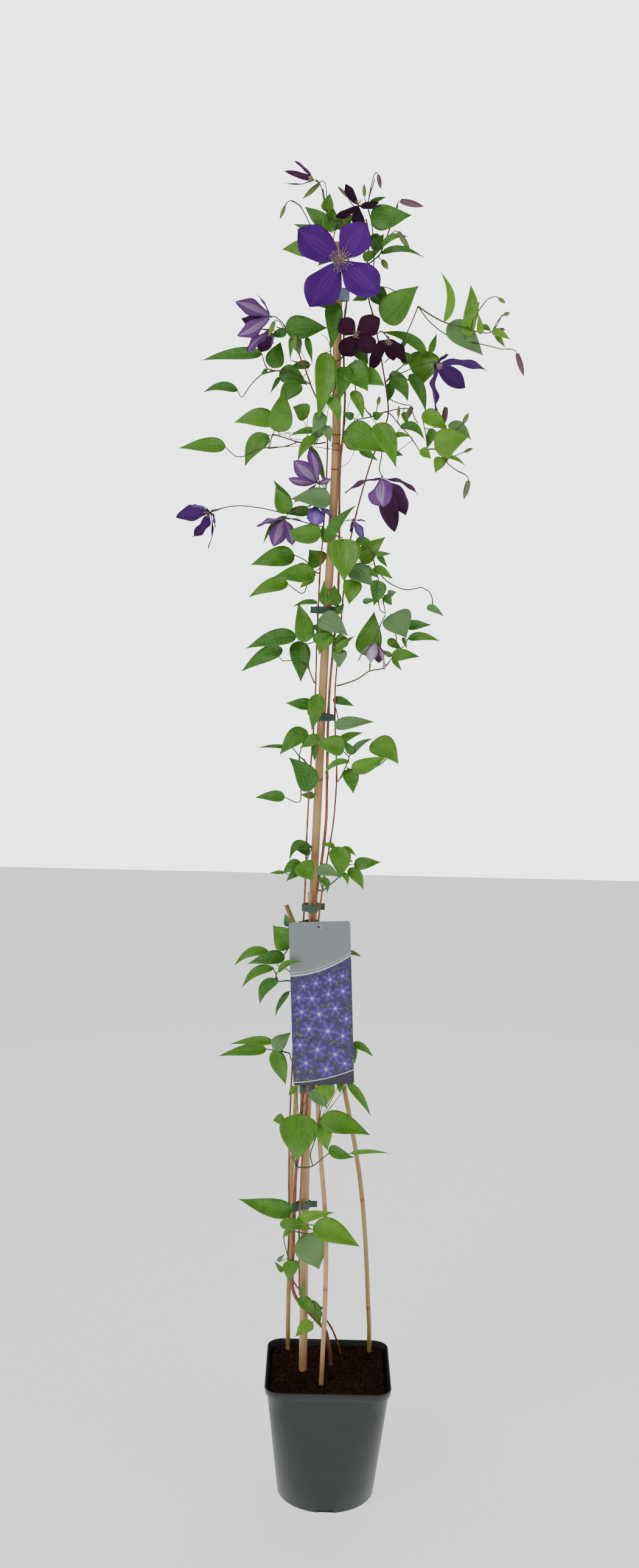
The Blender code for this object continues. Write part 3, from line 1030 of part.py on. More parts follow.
def height_point(points, radii, z):
    """Where a rod crosses height z, and its radius there, in metres and mm."""
    for i, (start, end) in enumerate(zip(points, points[1:])):
        if min(start.z, end.z) <= z <= max(start.z, end.z) and end.z != start.z:
            t = (z - start.z) / (end.z - start.z)
            return start.lerp(end, t), radii[i] + (radii[i + 1] - radii[i]) * t
    return None


def hull(points):
    """The convex hull of points in the plane, anticlockwise."""
    points = sorted(set(points))

    def half(run):
        chain = []
        for p in run:
            while len(chain) > 1 and ((chain[-1][0] - chain[-2][0]) * (p[1] - chain[-2][1])
                                      - (chain[-1][1] - chain[-2][1]) * (p[0] - chain[-2][0])) <= 0:
                chain.pop()
            chain.append(p)
        return chain[:-1]

    loop = half(points) + half(points[::-1])
    return [p for i, p in enumerate(loop) if math.dist(p, loop[i - 1]) > 0.9]


STRAP = 1.0
STRAP_SIDES = 6


def tie(name, row, members, extra, collection, scratch):
    """A plastic strap drawn round canes and vines, with its tab."""
    z, height, names, (tab_side, tab_length) = row
    level = z * MM
    inner, outer = [], []
    for member, reach_up in [(member, side) for member in names for side in (-1, 1)]:
        centre, radius = members(member, level + reach_up * height / 2 * MM)
        for k in range(STRAP_SIDES):
            angle = 2 * math.pi * k / STRAP_SIDES
            for loop, reach in ((inner, radius + 0.45), (outer, radius + 0.45 + STRAP)):
                swell = reach / math.cos(math.pi / STRAP_SIDES)
                loop.append((round(centre.x / MM + swell * math.cos(angle), 3),
                             round(centre.y / MM + swell * math.sin(angle), 3)))
    curve = bpy.data.curves.new(name, "CURVE")
    curve.dimensions = "2D"
    curve.fill_mode = "BOTH"
    curve.extrude = height / 2 * MM
    for loop in (hull(outer), hull(inner)):
        spline = curve.splines.new("POLY")
        spline.points.add(len(loop) - 1)
        spline.use_cyclic_u = True
        for knot, (x, y) in zip(spline.points, loop):
            knot.co = (x * MM, y * MM, 0, 1)
    item = new_object(name, curve, scratch)
    item.location.z = level
    pieces = [applied(item)] + extra
    edge = (max if tab_side > 0 else min)(hull(outer))
    middle = (edge[0] + tab_side * (tab_length / 2 - 0.6), edge[1], z)
    pieces.append(box("tab", middle, (tab_length, STRAP + 0.4, height - 1), 0, scratch))
    return fused(name, pieces, collection, "tie_plastic")


def label(collection, scratch):
    """The hanging label: a card with round corners and a hole for its peg."""
    width, height = LABEL_SIZE
    corner = 4.0
    curve = bpy.data.curves.new("label", "CURVE")
    curve.dimensions = "2D"
    curve.fill_mode = "BOTH"
    curve.extrude = 0.45 * MM
    outline = []
    for quarter, (sx, sz) in enumerate(((1, 1), (-1, 1), (-1, -1), (1, -1))):
        for k in range(4):
            angle = math.radians(90 * quarter + 30 * k)
            outline.append((sx * (width / 2 - corner) + corner * math.cos(angle),
                            sz * (height / 2 - corner) + corner * math.sin(angle)))
    hole = [(3.0 * math.cos(2 * math.pi * k / 10), height / 2 - 8 + 3.0 * math.sin(2 * math.pi * k / 10))
            for k in range(10)]
    for loop in (outline, hole):
        spline = curve.splines.new("POLY")
        spline.points.add(len(loop) - 1)
        spline.use_cyclic_u = True
        for knot, (x, z) in zip(spline.points, loop):
            knot.co = (x * MM, z * MM, 0, 1)
    item = new_object("label", curve, scratch)
    item.location = LABEL_CENTRE
    item.rotation_euler = (math.radians(90), math.radians(-LABEL_TURN), 0)
    return fused("label", [applied(item)], collection, "label_card")


LABEL_TURN = 2.8
LABEL_CENTRE = seen(-22.3, 763, -19)


def peg(scratch):
    """The peg through the label's hole, and the arm that ties it to its strap."""
    turn = math.radians(-LABEL_TURN)
    drop = (LABEL_SIZE[1] / 2 - 8) * MM
    hole = LABEL_CENTRE + Vector((drop * math.sin(turn), 0, drop * math.cos(turn)))
    front = [hole + Vector((0, y * MM, 0)) for y in (-1.6, 1.5)]
    arm = [hole + Vector((0, 1.2 * MM, 0)), Vector((-0.040, hole.y + 0.0016, 0.881)),
           Vector((-0.0415, -0.0134, 0.881))]
    return [tube("peg", front, [2.2, 2.2], 1, scratch),
            tube("arm", arm, [0.6] * 3, 0, scratch)]


def main():
    for item in list(bpy.data.objects):
        bpy.data.objects.remove(item)
    random.seed(7)
    plant = bpy.data.collections.new("clematis_on_trellis")
    scratch = bpy.data.collections.new("cutters")
    bpy.context.scene.collection.children.link(plant)
    bpy.context.scene.collection.children.link(scratch)
    pot(plant, scratch)
    canes = {"cane_main": (CANE_MAIN, CANE_RADIUS, "bamboo"),
             "cane_left": (CANE_LEFT, THIN_CANE_RADIUS, "cane_tan"),
             "cane_front": (CANE_FRONT, THIN_CANE_RADIUS, "bamboo"),
             "cane_right": (CANE_RIGHT, THIN_CANE_RADIUS, "cane_tan")}
    vines = {"vine_main": (VINE_MAIN, (3.0, 1.4)), "vine_left": (VINE_LEFT, (1.5, 1.2)),
             "vine_right": (VINE_RIGHT, (1.5, 1.2))}
    rods = []
    for name, (table, radius, material) in canes.items():
        cane(name, table, radius, 2 if name == "cane_main" else 1, plant, scratch, material)
        low, top = seen(*table[0]), seen(*table[1])
        rods.append((low + (low - top).normalized() * 0.002, low.lerp(top, 1.15), radius + GAP + 0.25))
    skins = []
    for name, (table, radii) in vines.items():
        skins.append(outline_of(vine(name, table, radii, skins[:1], plant, scratch)))
    for name in ("vine_main", "vine_left"):
        low, top = seen(*vines[name][0][0]), seen(*vines[name][0][1])
        rods.append((low + (low - top).normalized() * 0.001, low.lerp(top, 2.0),
                     vines[name][1][0] + GAP + 0.3))
    soil(plant, scratch, rods)

    def members(name, level):
        if name in canes:
            table, radius = canes[name][:2]
            points = [seen(*p) for p in table]
            return height_point(points, [radius] * len(points), level)
        table, radii = vines[name]
        points = smooth_route([seen(*p) for p in table], 0.12)
        return height_point(points, taper(len(points), *radii), level)

    for name, row in TIES.items():
        tie(name, row, members, peg(scratch) if name == "tie_885" else [], plant, scratch)
    label(plant, scratch)
    carriers = [outline_of(bpy.data.objects[name]) for name in vines]
    shoots = {}
    for name, row in SPRAYS.items():
        routes, rods = stems(row, carriers, scratch)
        shoots[name] = (routes, rods, [outline_of(rod) for rod in rods])
        carriers += shoots[name][2]
    for name, row in BLOOMS.items():
        bloom(name, row, carriers, plant, scratch)
    placed.extend(outline_of(item) for item in plant.objects)
    for name, row in SPRAYS.items():
        routes, rods, outlines = shoots.pop(name)
        later = [outline for shoot in shoots.values() for outline in shoot[2]]
        placed.extend(later)
        body = spray(name, row, routes, rods, plant, scratch)
        del placed[len(placed) - len(later):]
        placed.append(outline_of(body))
    for item in list(scratch.objects):
        bpy.data.objects.remove(item)
    bpy.data.collections.remove(scratch)


main()
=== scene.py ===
"""The dressed clematis on its canes in a pot: every leaf, sepal, stem, tie and the label as a fine
piece over its CAD node, with procedural materials, a pale floor, soft light and the camera.

Metres, +Z up, in the CAD model's frame. Places in the tables are (x, z, y) in millimetres: x and z
as seen on the plane y = 0 from the viewer's eye, and y the true depth.
"""
import json
import math
import random
from collections import namedtuple
from functools import partialmethod

import bmesh
import bpy
from mathutils import Matrix, Quaternion, Vector
from mathutils.bvhtree import BVHTree

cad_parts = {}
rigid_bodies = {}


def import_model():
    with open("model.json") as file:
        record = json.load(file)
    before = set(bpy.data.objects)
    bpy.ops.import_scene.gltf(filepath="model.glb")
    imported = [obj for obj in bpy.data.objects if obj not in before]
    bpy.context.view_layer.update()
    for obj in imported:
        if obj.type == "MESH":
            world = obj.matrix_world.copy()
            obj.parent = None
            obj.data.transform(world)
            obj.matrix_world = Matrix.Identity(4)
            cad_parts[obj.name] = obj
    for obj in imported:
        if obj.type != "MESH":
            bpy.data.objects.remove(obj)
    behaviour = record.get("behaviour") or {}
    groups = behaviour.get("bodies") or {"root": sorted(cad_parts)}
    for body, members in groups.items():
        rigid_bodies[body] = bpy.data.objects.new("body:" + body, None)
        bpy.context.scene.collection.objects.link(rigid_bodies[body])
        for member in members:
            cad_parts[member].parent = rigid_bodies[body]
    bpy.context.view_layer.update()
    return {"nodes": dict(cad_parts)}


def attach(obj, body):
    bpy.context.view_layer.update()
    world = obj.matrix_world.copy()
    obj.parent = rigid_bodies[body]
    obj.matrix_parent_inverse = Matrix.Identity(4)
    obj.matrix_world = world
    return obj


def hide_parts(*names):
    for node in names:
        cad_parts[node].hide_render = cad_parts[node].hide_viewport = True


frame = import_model()
random.seed(11)

MM = 0.001

# Leaves at least this long in mm are moved in depth, by the first of these tries that fits best, to
# where their CAD node holds them.
LEAST_LEAF = 32.0
DEPTH_TRIES = (0, 4, -4, 8, -8, 13, -13, 18, -18, 24, -24)

# Where the viewer stands when the table's places are read, in metres.
EYE = Vector((-0.033, -2.45, 1.351))


def seen(x, z, y):
    """The point at depth y that is seen at (x, z) on the plane y = 0, in metres."""
    flat = Vector((x, 0.0, z)) * MM
    return EYE + (flat - EYE) * ((y * MM - EYE.y) / -EYE.y)


Leaf = namedtuple("Leaf", "foot tip width depth lift roll cup")


def read_leaf(foot_x, foot_z, tip_x, tip_z, width, foot_y, tip_y, lift=0, roll=0, cup=0.07):
    """A leaf's row: lift is how far its middle arches up in mm, roll its turn about its length in
    degrees, and cup how far its middle bulges forward as a share of its length."""
    return Leaf((foot_x, foot_z), (tip_x, tip_z), width, (foot_y, tip_y), lift, roll, cup)


# Canes and vines: (x, z, y) places up each one.
CANE_MAIN = [(-38.5, 40, 13), (-38.5, 240, 13), (-40.7, 500, 13), (-39.5, 760, 13), (-38, 940, 12),
    (-34.2, 1100, 12), (-31, 1240, 11), (-25.7, 1400, 10), (-21.7, 1500, 10), (-20, 1600, 9),
    (-22, 1700, 8), (-22, 1780, 8), (-26, 1872, 8)]
CANE_LEFT = [(-54, 100, 56), (-62, 225, 76), (-62, 400, 68), (-62, 500, 62), (-58.5, 600, 52),
    (-55.5, 720, 40), (-51.5, 880, 26)]
CANE_FRONT = [(-10.5, 40, -30), (-9.5, 170, -30), (-6.5, 300, -26), (-8, 420, -21), (-15.8, 500, -18),
    (-24, 600, -14), (-30, 700, -9), (-36.5, 800, -4), (-43.5, 931, 0.5)]
CANE_RIGHT = [(55, 100, 54), (62.8, 222, 72), (59, 300, 68), (52.3, 400, 62), (41, 500, 55),
    (21.6, 600, 48), (1, 690, 42), (-28, 780, 40), (-58, 865, 42), (-78.5, 911, 44)]

VINE_MAIN = [(5, 188, 32), (3, 215, 31), (-4, 250, 22), (-16, 266, 8), (-30, 281, -2), (-42, 294, -5),
    (-52, 306, -6), (-58, 330, -6), (-57, 380, -5), (-57, 420, -4), (-55.5, 500, -4), (-51.5, 540, -4),
    (-49, 590, -4), (-48.5, 640, -4), (-50, 700, -5), (-51, 760, -7), (-49, 820, -10), (-43, 870, -11),
    (-37, 905, -9), (-32, 945, -6), (-26.5, 985, 0), (-22, 1040, 3), (-22, 1100, 4), (-22.5, 1180, 4),
    (-21, 1240, 5), (-17, 1300, 5), (-12.5, 1350, 5), (-12, 1400, 4), (-12.5, 1460, 3), (-13.5, 1510, 2),
    (-13.5, 1560, 2), (-10, 1610, 1), (-9, 1660, 1), (-12, 1710, 2), (-12.5, 1760, 2), (-9, 1800, 3),
    (-9, 1850, 8), (-14, 1890, 14), (-18, 1912, 18)]
VINE_LEFT = [(21, 200, 66), (17, 225, 62), (4, 258, 44), (-14, 282, 30), (-34, 306, 28), (-53, 326, 27),
    (-64, 356, 26), (-64, 420, 27), (-66, 500, 28), (-66, 600, 26), (-63, 700, 20), (-58, 800, 8),
    (-53, 870, 2), (-51, 940, 2), (-50, 1020, 4), (-47, 1110, 4), (-42.5, 1200, 3), (-41.5, 1300, 2),
    (-39.5, 1400, 2), (-36, 1460, 2), (-33, 1540, 1), (-33.5, 1600, 4), (-44, 1640, 14), (-56, 1665, 22),
    (-70, 1700, 26), (-88, 1736, 28), (-100, 1756, 30)]
VINE_RIGHT = [(-38, 306, -12), (-47, 345, -14), (-48.5, 420, -12), (-46.5, 520, -12), (-41, 620, -13),
    (-38, 700, -14), (-35, 790, -14), (-31, 870, -14), (-27, 920, -12), (-18.5, 985, 0), (-12, 1030, 5),
    (-9.5, 1060, 6), (-8, 1110, 7), (-12, 1180, 9), (-13, 1240, 10), (-8, 1310, 13), (-4, 1380, 14),
    (2, 1440, 14), (14, 1500, 16), (30, 1560, 18), (44, 1600, 18), (54, 1632, 18), (50, 1668, 20),
    (44, 1700, 20), (36, 1740, 20), (29, 1770, 20), (21, 1798, 22), (19, 1840, 24), (20, 1880, 26),
    (15, 1905, 27)]

# Leaf sprays: stems as routes from the vine outwards, leaves as read_leaf takes them, and buds, each
# its stalk's route, its tip and its width.
SPRAYS = {
    "spray_crown": dict(
        stems=[[(-20, 1913, 18), (-27, 1902, 30), (-34, 1905, 36), (-42, 1918, 38), (-47, 1945, 38)],
            [(-34, 1905, 36), (-60, 1893, 34), (-70, 1906, 32), (-80, 1922, 30), (-93, 1928, 28)],
            [(-27, 1902, 30), (-30, 1880, 34), (-34, 1862, 34)]],
        leaves=[(-42, 1914, -37, 1940, 17, 38, 34), (-40, 1896, -73, 1920, 20, 34, 40),
            (-36, 1886, -32, 1921, 24, 36, 40), (-45, 1884, -89, 1896, 13, 34, 38),
            (-58, 1862, -104, 1860, 24, 34, 44, 2), (-27, 1892, -1, 1911, 18, 34, 40),
            (-30, 1858, -53, 1838, 13, 34, 38)],
        buds=[([(-42, 1918, 38), (-42, 1940, 38), (-45, 1955, 36), (-50, 1957, 34), (-53, 1952, 33)],
                (-76, 1931, 26), 7.5),
            ([(-80, 1922, 30), (-92, 1929, 28), (-99, 1925, 27), (-101, 1920, 26)], (-108, 1902, 24),
                5.5)]),
    "spray_crown_right": dict(
        stems=[[(22.5, 1843, 22), (28, 1849, 14), (36, 1856, 8), (42, 1872, 8), (52, 1900, 8),
                (60, 1925, 8)],
            [(28, 1849, 14), (27, 1875, 12), (22, 1905, 12), (17, 1925, 12), (26, 1960, 12)],
            [(28, 1849, 14), (27, 1828, 13), (30, 1811, 12), (46, 1811, 10), (58, 1806, 10)]],
        leaves=[(21, 1906, 80, 1912, 35, 12, 4), (19, 1925, 44, 1936, 7, 14, 18, 2),
            (26, 1862, 41, 1885, 17, 14, 20), (25, 1884, 38, 1862, 15, 20, 20),
            (39, 1868, 78, 1881, 9, 6, 0, 8), (38, 1858, 100, 1853, 9, 6, -6, 9),
            (12, 1850, 36, 1862, 13, 18, 14), (32, 1810, 51, 1786, 17, 16, 18),
            (24, 1798, 49, 1783, 10, 12, 12), (20, 1800, -2, 1791, 12, 14, 10),
            (44, 1763, 93, 1814, 42, -2, -10, 3)],
        buds=[([(52, 1900, 8), (58, 1922, 8), (61, 1931, 6), (64, 1931, 4)], (97, 1924, -4), 10),
            ([(17, 1925, 12), (20, 1945, 12), (25, 1966, 12), (28, 1971, 12), (31, 1966, 12)],
                (35, 1947, 10), 6.5),
            ([(19, 1912, 14), (13, 1932, 16), (12, 1937, 16)], (11, 1954, 16), 5.5),
            ([(42, 1872, 8), (50, 1884, 4), (58, 1890, 2), (62, 1888, 0)], (80, 1861, -6), 8),
            ([(36, 1856, 8), (34, 1851, 4), (37, 1850, 2), (40, 1848, 0)], (48, 1836, -4), 9),
            ([(20, 1925, 12), (-2, 1922, 22), (-12, 1935, 26)], (-27, 1950, 28), 5)]),
    "spray_far_right": dict(
        stems=[[(88, 1783, -12), (112, 1773, -10), (133, 1763, -8), (160, 1756, -8), (182, 1751, -8),
                (200, 1752, -8), (214, 1776, -6)],
            [(88, 1783, -12), (84, 1762, -2), (72, 1735, 6), (58, 1716, 12), (46.5, 1705, 17)],
            [(88, 1783, -12), (110, 1764, -2), (135, 1746, 4), (160, 1738, 4), (185, 1734, 2),
                (214, 1728, 0)],
            [(170, 1753, -8), (172, 1768, -10), (182, 1784, -10)]],
        leaves=[(132, 1765, 122, 1836, 12, -8, -16, 12), (165, 1757, 167, 1818, 20, -6, 2, 4),
            (162, 1745, 181, 1794, 20, -14, -22, 3), (137, 1762, 188, 1718, 34, -2, 8, 3),
            (184, 1748, 180, 1776, 9, -12, -12), (200, 1753, 227, 1741, 11, -8, -14, 2),
            (205, 1749, 220, 1730, 7, -8, -4), (182, 1757, 199, 1751, 8, -2, 4, 4)],
        buds=[([(214, 1728, 0), (228, 1728, 0), (235, 1726, 0), (237, 1722, 0)], (248, 1690, 2), 8.5),
            ([(200, 1752, -8), (208, 1768, -6), (216, 1776, -6)], (225, 1779, -6), 6),
            ([(200, 1752, -8), (206, 1757, -8), (210, 1756, -8)], (219, 1755, -10), 5),
            ([(182, 1784, -10), (192, 1797, -10), (204, 1802, -10), (208, 1799, -10)], (218, 1792, -10),
                6)]),
    "spray_right_upper": dict(
        stems=[[(51, 1677, 22), (58, 1688, 32), (74, 1702, 36), (96, 1718, 34), (112, 1718, 32)],
            [(58, 1688, 32), (84, 1680, 34), (96, 1668, 34), (100, 1655, 34)],
            [(58, 1688, 32), (52, 1668, 34), (56, 1654, 34), (70, 1648, 34), (80, 1646, 34)]],
        leaves=[(106, 1720, 38, 1748, 15, 32, 24, 9), (105, 1723, 100, 1672, 46, 30, 34),
            (112, 1720, 121, 1748, 9, 32, 34), (84, 1706, 65, 1723, 17, 36, 36),
            (54, 1688, 82, 1681, 16, 30, 38), (57, 1684, 82, 1651, 20, 30, 40, 6),
            (55, 1676, 52, 1648, 13, 30, 30, 2), (84, 1690, 108, 1636, 17, 30, 40, 5),
            (72, 1727, 81, 1747, 5, 34, 30)],
        buds=[([(80, 1646, 34), (86, 1646, 34), (88, 1643, 34)], (78, 1622, 32), 9),
            ([(96, 1668, 34), (118, 1700, 24), (138, 1690, 18)], (148, 1685, 18), 6)]),
    "spray_left_upper": dict(
        stems=[[(-90, 1734, 24), (-84, 1740, 16), (-72, 1742, 12), (-66, 1738, 12)],
            [(-84, 1740, 16), (-98, 1748, 14), (-110, 1752, 12)]],
        leaves=[(-97, 1752, -36, 1752, 33, 14, 20, 0), (-66, 1738, -57, 1704, 9, 12, 16),
            (-95, 1746, -119, 1739, 13, 16, 22), (-83, 1740, -75, 1711, 15, 20, 24),
            (-88, 1738, -89, 1706, 7, 12, 12)],
        buds=[([(-98, 1748, 14), (-104, 1758, 8), (-110, 1762, 4), (-113, 1759, 2)], (-121, 1738, 0), 7.5),
            ([(-84, 1740, 16), (-82, 1741, 10), (-82, 1740, 8)], (-83, 1719, 6), 7.5)]),
    "spray_left_far": dict(
        stems=[[(-60, 1671, 26), (-72, 1680, 32), (-90, 1690, 32), (-110, 1690, 30), (-122, 1693, 28),
                (-127, 1704, 26), (-130, 1714, 26)],
            [(-110, 1690, 30), (-130, 1684, 30), (-146, 1668, 30), (-158, 1651, 30), (-164, 1662, 30)]],
        leaves=[(-130, 1714, -218, 1702, 17, 26, 30, 4), (-115, 1694, -103, 1731, 27, 35, 42),
            (-104, 1689, -63, 1671, 27, 37, 40, 3), (-74, 1674, -104, 1642, 26, 40, 44, 4),
            (-122, 1692, -131, 1684, 5, 28, 28), (-104, 1681, -117, 1658, 6, 32, 30),
            (-164, 1662, -214, 1657, 13, 30, 34, 7), (-60, 1700, -92, 1693, 12, 40, 44, 2)],
        buds=[]),
    "spray_left_mid": dict(
        stems=[[(-35.5, 1590, 3), (-50, 1588, -4), (-75, 1590, -6), (-100, 1597, -8), (-112, 1600, -8)],
            [(-75, 1590, -6), (-95, 1583, -4), (-118, 1581, -4), (-135, 1577, -4), (-150, 1569, -2),
                (-164, 1567, 0), (-180, 1580, 0)],
            [(-112, 1600, -8), (-115, 1591, -6), (-118, 1581, -4)]],
        leaves=[(-103, 1603, -97, 1664, 34, -12, -18), (-108, 1620, -169, 1615, 27, 0, 4, 6),
            (-120, 1600, -151, 1554, 26, -2, 4, 6), (-62, 1626, -84, 1640, 25, 12, 16, 3),
            (-180, 1582, -248, 1577, 21, 0, -6, 3), (-50, 1598, -75, 1563, 15, -14, -18, 5),
            (-50, 1607, -88, 1598, 9, -10, -14, 3)],
        buds=[]),
    "spray_front_upper": dict(
        stems=[[(-14.5, 1712, -1), (-20, 1706, -12), (-28, 1708, -18), (-32, 1730, -18), (-30, 1786, -18)],
            [(-28, 1708, -18), (-22, 1690, -18), (-24, 1664, -18), (-30, 1655, -18)]],
        leaves=[(-29, 1789, -30, 1722, 25, -18, -22, 2), (-38, 1718, -48, 1620, 31, -20, -28, 4),
            (-8, 1698, -17, 1650, 24, -22, -32, 0), (-31, 1654, -15, 1618, 17, -30, -38, 3),
            (-40, 1632, -55, 1602, 20, -18, -22), (-36, 1614, -28, 1590, 14, -20, -22),
            (-31, 1788, -53, 1782, 12, -16, -12)],
        buds=[]),
    "spray_right_inner": dict(
        stems=[[(52.2, 1636, 15), (44, 1634, 6), (30, 1628, 2), (10, 1624, 0)],
            [(52.2, 1636, 15), (60, 1630, 4), (70, 1618, -2), (86, 1602, -4), (101, 1581, -4)],
            [(52.2, 1636, 15), (68, 1640, 8), (86, 1640, 4), (92, 1628, 2), (98, 1620, 2)],
            [(30, 1628, 2), (20, 1640, -10), (8, 1660, -14), (2, 1690, -16)]],
        leaves=[(-2, 1703, 24, 1664, 38, -16, -24), (14, 1690, 48, 1672, 24, -10, -6, 2),
            (2, 1664, 18, 1624, 16, -18, -24, 3), (6, 1727, 24, 1702, 19, -12, -10),
            (-8, 1608, 52, 1578, 42, -8, -14, 3), (37, 1619, 67, 1557, 30, -16, -22, 5),
            (-5, 1592, 14, 1579, 14, -12, -10), (14, 1583, 41, 1566, 12, -4, 0),
            (32, 1628, 47, 1633, 12, -4, -8), (62, 1576, 78, 1573, 7, -4, -4, 2),
            (72, 1616, 108, 1596, 13, 0, -4, 9), (60, 1600, 90, 1600, 7, -8, -10, 4),
            (76, 1636, 83, 1616, 8, 4, 2), (4, 1626, -12, 1634, 11, -8, -12)],
        buds=[([(36, 1630, 3), (38, 1642, 0), (39, 1646, 0)], (41, 1658, 0), 6),
            ([(60, 1604, -4), (68, 1622, -6), (69, 1630, -6)], (69, 1645, -6), 5)]),
    "spray_right_outer": dict(
        stems=[[(102.1, 1579.5, -4.4), (112, 1583, -4), (124, 1584, -4), (136, 1573, -2), (142, 1564, 0),
                (158, 1553, 0), (166, 1550, 0)],
            [(112, 1583, -4), (110, 1600, -2), (104, 1626, 0)]],
        leaves=[(104, 1636, 141, 1611, 24, 0, 4, 2), (123, 1585, 173, 1604, 38, -8, -16, 4),
            (140, 1592, 140, 1565, 20, -6, 2), (142, 1620, 175, 1598, 17, 2, -4, 5),
            (119, 1613, 113, 1586, 13, 4, 4), (103, 1584, 118, 1570, 13, -8, -8),
            (133, 1573, 124, 1550, 17, 2, 2), (142, 1574, 168, 1561, 5, 0, 2, 3)],
        buds=[([(130, 1572, -3), (134, 1600, 6), (137, 1640, 6), (137, 1644, 6)], (134, 1616, 6), 9),
            ([(140, 1570, 0), (156, 1577, 0), (166, 1581, 0)], (178, 1587, 0), 5.5),
            ([(150, 1615, -12), (160, 1619, -12), (163, 1622, -12)], (170, 1637, -12), 7),
            ([(166, 1550, 0), (172, 1546, 0), (173, 1540, 0)], (167, 1513, 0), 9)]),
    "spray_left_low": dict(
        stems=[[(-38, 1500, 0.5), (-46, 1502, -8), (-60, 1498, -10), (-86, 1488, -8)],
            [(-46, 1502, -8), (-42, 1520, -12), (-46, 1545, -12), (-58, 1578, -12)]],
        leaves=[(-88, 1488, -107, 1525, 25, -6, 0), (-84, 1503, -111, 1536, 10, 6, 8),
            (-26, 1508, -84, 1508, 28, -18, -26, 4), (-57, 1492, -94, 1490, 15, -2, 2),
            (-90, 1483, -123, 1443, 9, -8, -10, 6), (-58, 1583, -33, 1525, 11, -20, -26, 3),
            (-36, 1614, -62, 1590, 15, -2, 4)],
        buds=[]),
    "spray_front_mid": dict(
        stems=[[(-14, 1477, -0.8), (-17, 1470, -14), (-20, 1458, -18), (-34, 1448, -16)],
            [(-20, 1458, -18), (-8, 1454, -22)]],
        leaves=[(-7, 1452, -4, 1391, 46, -24, -38, 2), (-31, 1448, 10, 1501, 17, -18, -26, 5),
            (-30, 1447, -38, 1472, 13, -16, -14), (-38, 1462, -99, 1459, 27, -16, -10, -3)],
        buds=[]),
    "spray_left_1420": dict(
        stems=[[(-42, 1402, 3), (-50, 1406, 8), (-58, 1418, 10), (-68, 1424, 10), (-78, 1428, 10)],
            [(-50, 1406, 8), (-57, 1388, 7), (-64, 1372, 7), (-86, 1386, 8)],
            [(-50, 1406, 8), (-49, 1397, -1), (-46, 1399, -9)]],
        leaves=[(-77, 1428, -141, 1412, 29, 8, 4, 3), (-37, 1415, -56, 1436, 30, 18, 22),
            (-60, 1412, -76, 1413, 9, 12, 16), (-46, 1402, -109, 1394, 27, -8, -16, 3),
            (-86, 1388, -143, 1365, 21, 8, 4, 5), (-48, 1398, -69, 1380, 11, -10, -8)],
        buds=[]),
    "spray_right_1420": dict(
        stems=[[(3, 1419, 11), (12, 1426, 2), (26, 1440, -6), (33, 1439, -8), (42, 1410, -8),
                (50, 1380, -10), (58, 1346, -10)],
            [(42, 1410, -8), (60, 1392, -8), (82, 1382, -8), (96, 1382, -8), (110, 1385, -8),
                (124, 1375, -8), (126, 1356, -8)],
            [(50, 1380, -10), (47, 1366, -10), (50, 1350, -10), (58, 1346, -10)]],
        leaves=[(20, 1420, 55, 1457, 26, -8, -14, 3), (12, 1452, 43, 1440, 13, -2, 2, 2),
            (40, 1432, 64, 1433, 7, -10, -12), (44, 1432, 59, 1413, 8, -8, -4),
            (5, 1411, 40, 1385, 28, -12, -18, 3), (38, 1411, 67, 1396, 13, -12, -16, 3),
            (45, 1394, 40, 1357, 23, -18, -24, 3), (10, 1394, 4, 1358, 27, -14, -20),
            (60, 1374, 73, 1378, 10, -12, -12), (56, 1373, 67, 1358, 12, -6, -2),
            (24, 1362, 43, 1367, 8, -8, -8), (118, 1358, 143, 1344, 10, -8, -12, 2),
            (20, 1412, 46, 1397, 12, -20, -22, 2)],
        buds=[]),
    "spray_left_1300": dict(
        stems=[[(-44.8, 1240, 2), (-52, 1262, -4), (-55, 1284, -6), (-60, 1298, -8), (-72, 1309, -6)],
            [(-52, 1262, -4), (-68, 1274, 6), (-92, 1274, 10), (-98, 1284, 8)],
            [(-60, 1298, -8), (-52, 1300, -14), (-44, 1303, -16)]],
        leaves=[(-58, 1302, -70, 1359, 28, -12, -6, 2), (-42, 1360, -79, 1352, 7, 2, 8, 4),
            (-72, 1311, -146, 1290, 24, -6, -2, 5), (-92, 1292, -151, 1257, 22, 8, 14, 4),
            (-69, 1303, -64, 1243, 30, -12, -18, 2), (-47, 1305, -22, 1316, 15, -18, -22)],
        buds=[]),
    "spray_front_1330": dict(
        stems=[[(-18, 1311, 0.5), (-22, 1314, -12), (-30, 1322, -16), (-37, 1336, -18)],
            [(-22, 1314, -12), (-14, 1330, -14), (-15, 1356, -12)]],
        leaves=[(-38, 1338, 4, 1312, 30, -20, -32, 4), (-27, 1319, -38, 1284, 26, -16, -22),
            (1, 1311, -18, 1291, 20, -14, -10), (-8, 1293, -8, 1265, 21, -8, -14),
            (-13, 1290, 13, 1312, 11, -12, -18, 2), (-16, 1356, -18, 1386, 19, -14, -10),
            (-33, 1357, -33, 1392, 12, -14, -10), (-14, 1345, -3, 1359, 11, -8, -4),
            (-30, 1321, -50, 1326, 14, -10, -6)],
        buds=[]),
    "spray_right_1320": dict(
        stems=[[(-14.5, 1238, 6.5), (0, 1242, 8), (20, 1250, 8), (37, 1262, 6), (56, 1266, 8),
                (68, 1280, 10), (76, 1293, 10), (86, 1298, 10), (92, 1311, 10)],
            [(37, 1262, 6), (37, 1284, 10), (36, 1292, 12)],
            [(76, 1293, 10), (74, 1315, 12), (68, 1342, 6)]],
        leaves=[(29, 1284, 41, 1349, 37, 14, 20, 2), (67, 1346, 89, 1311, 44, 0, -8, 3),
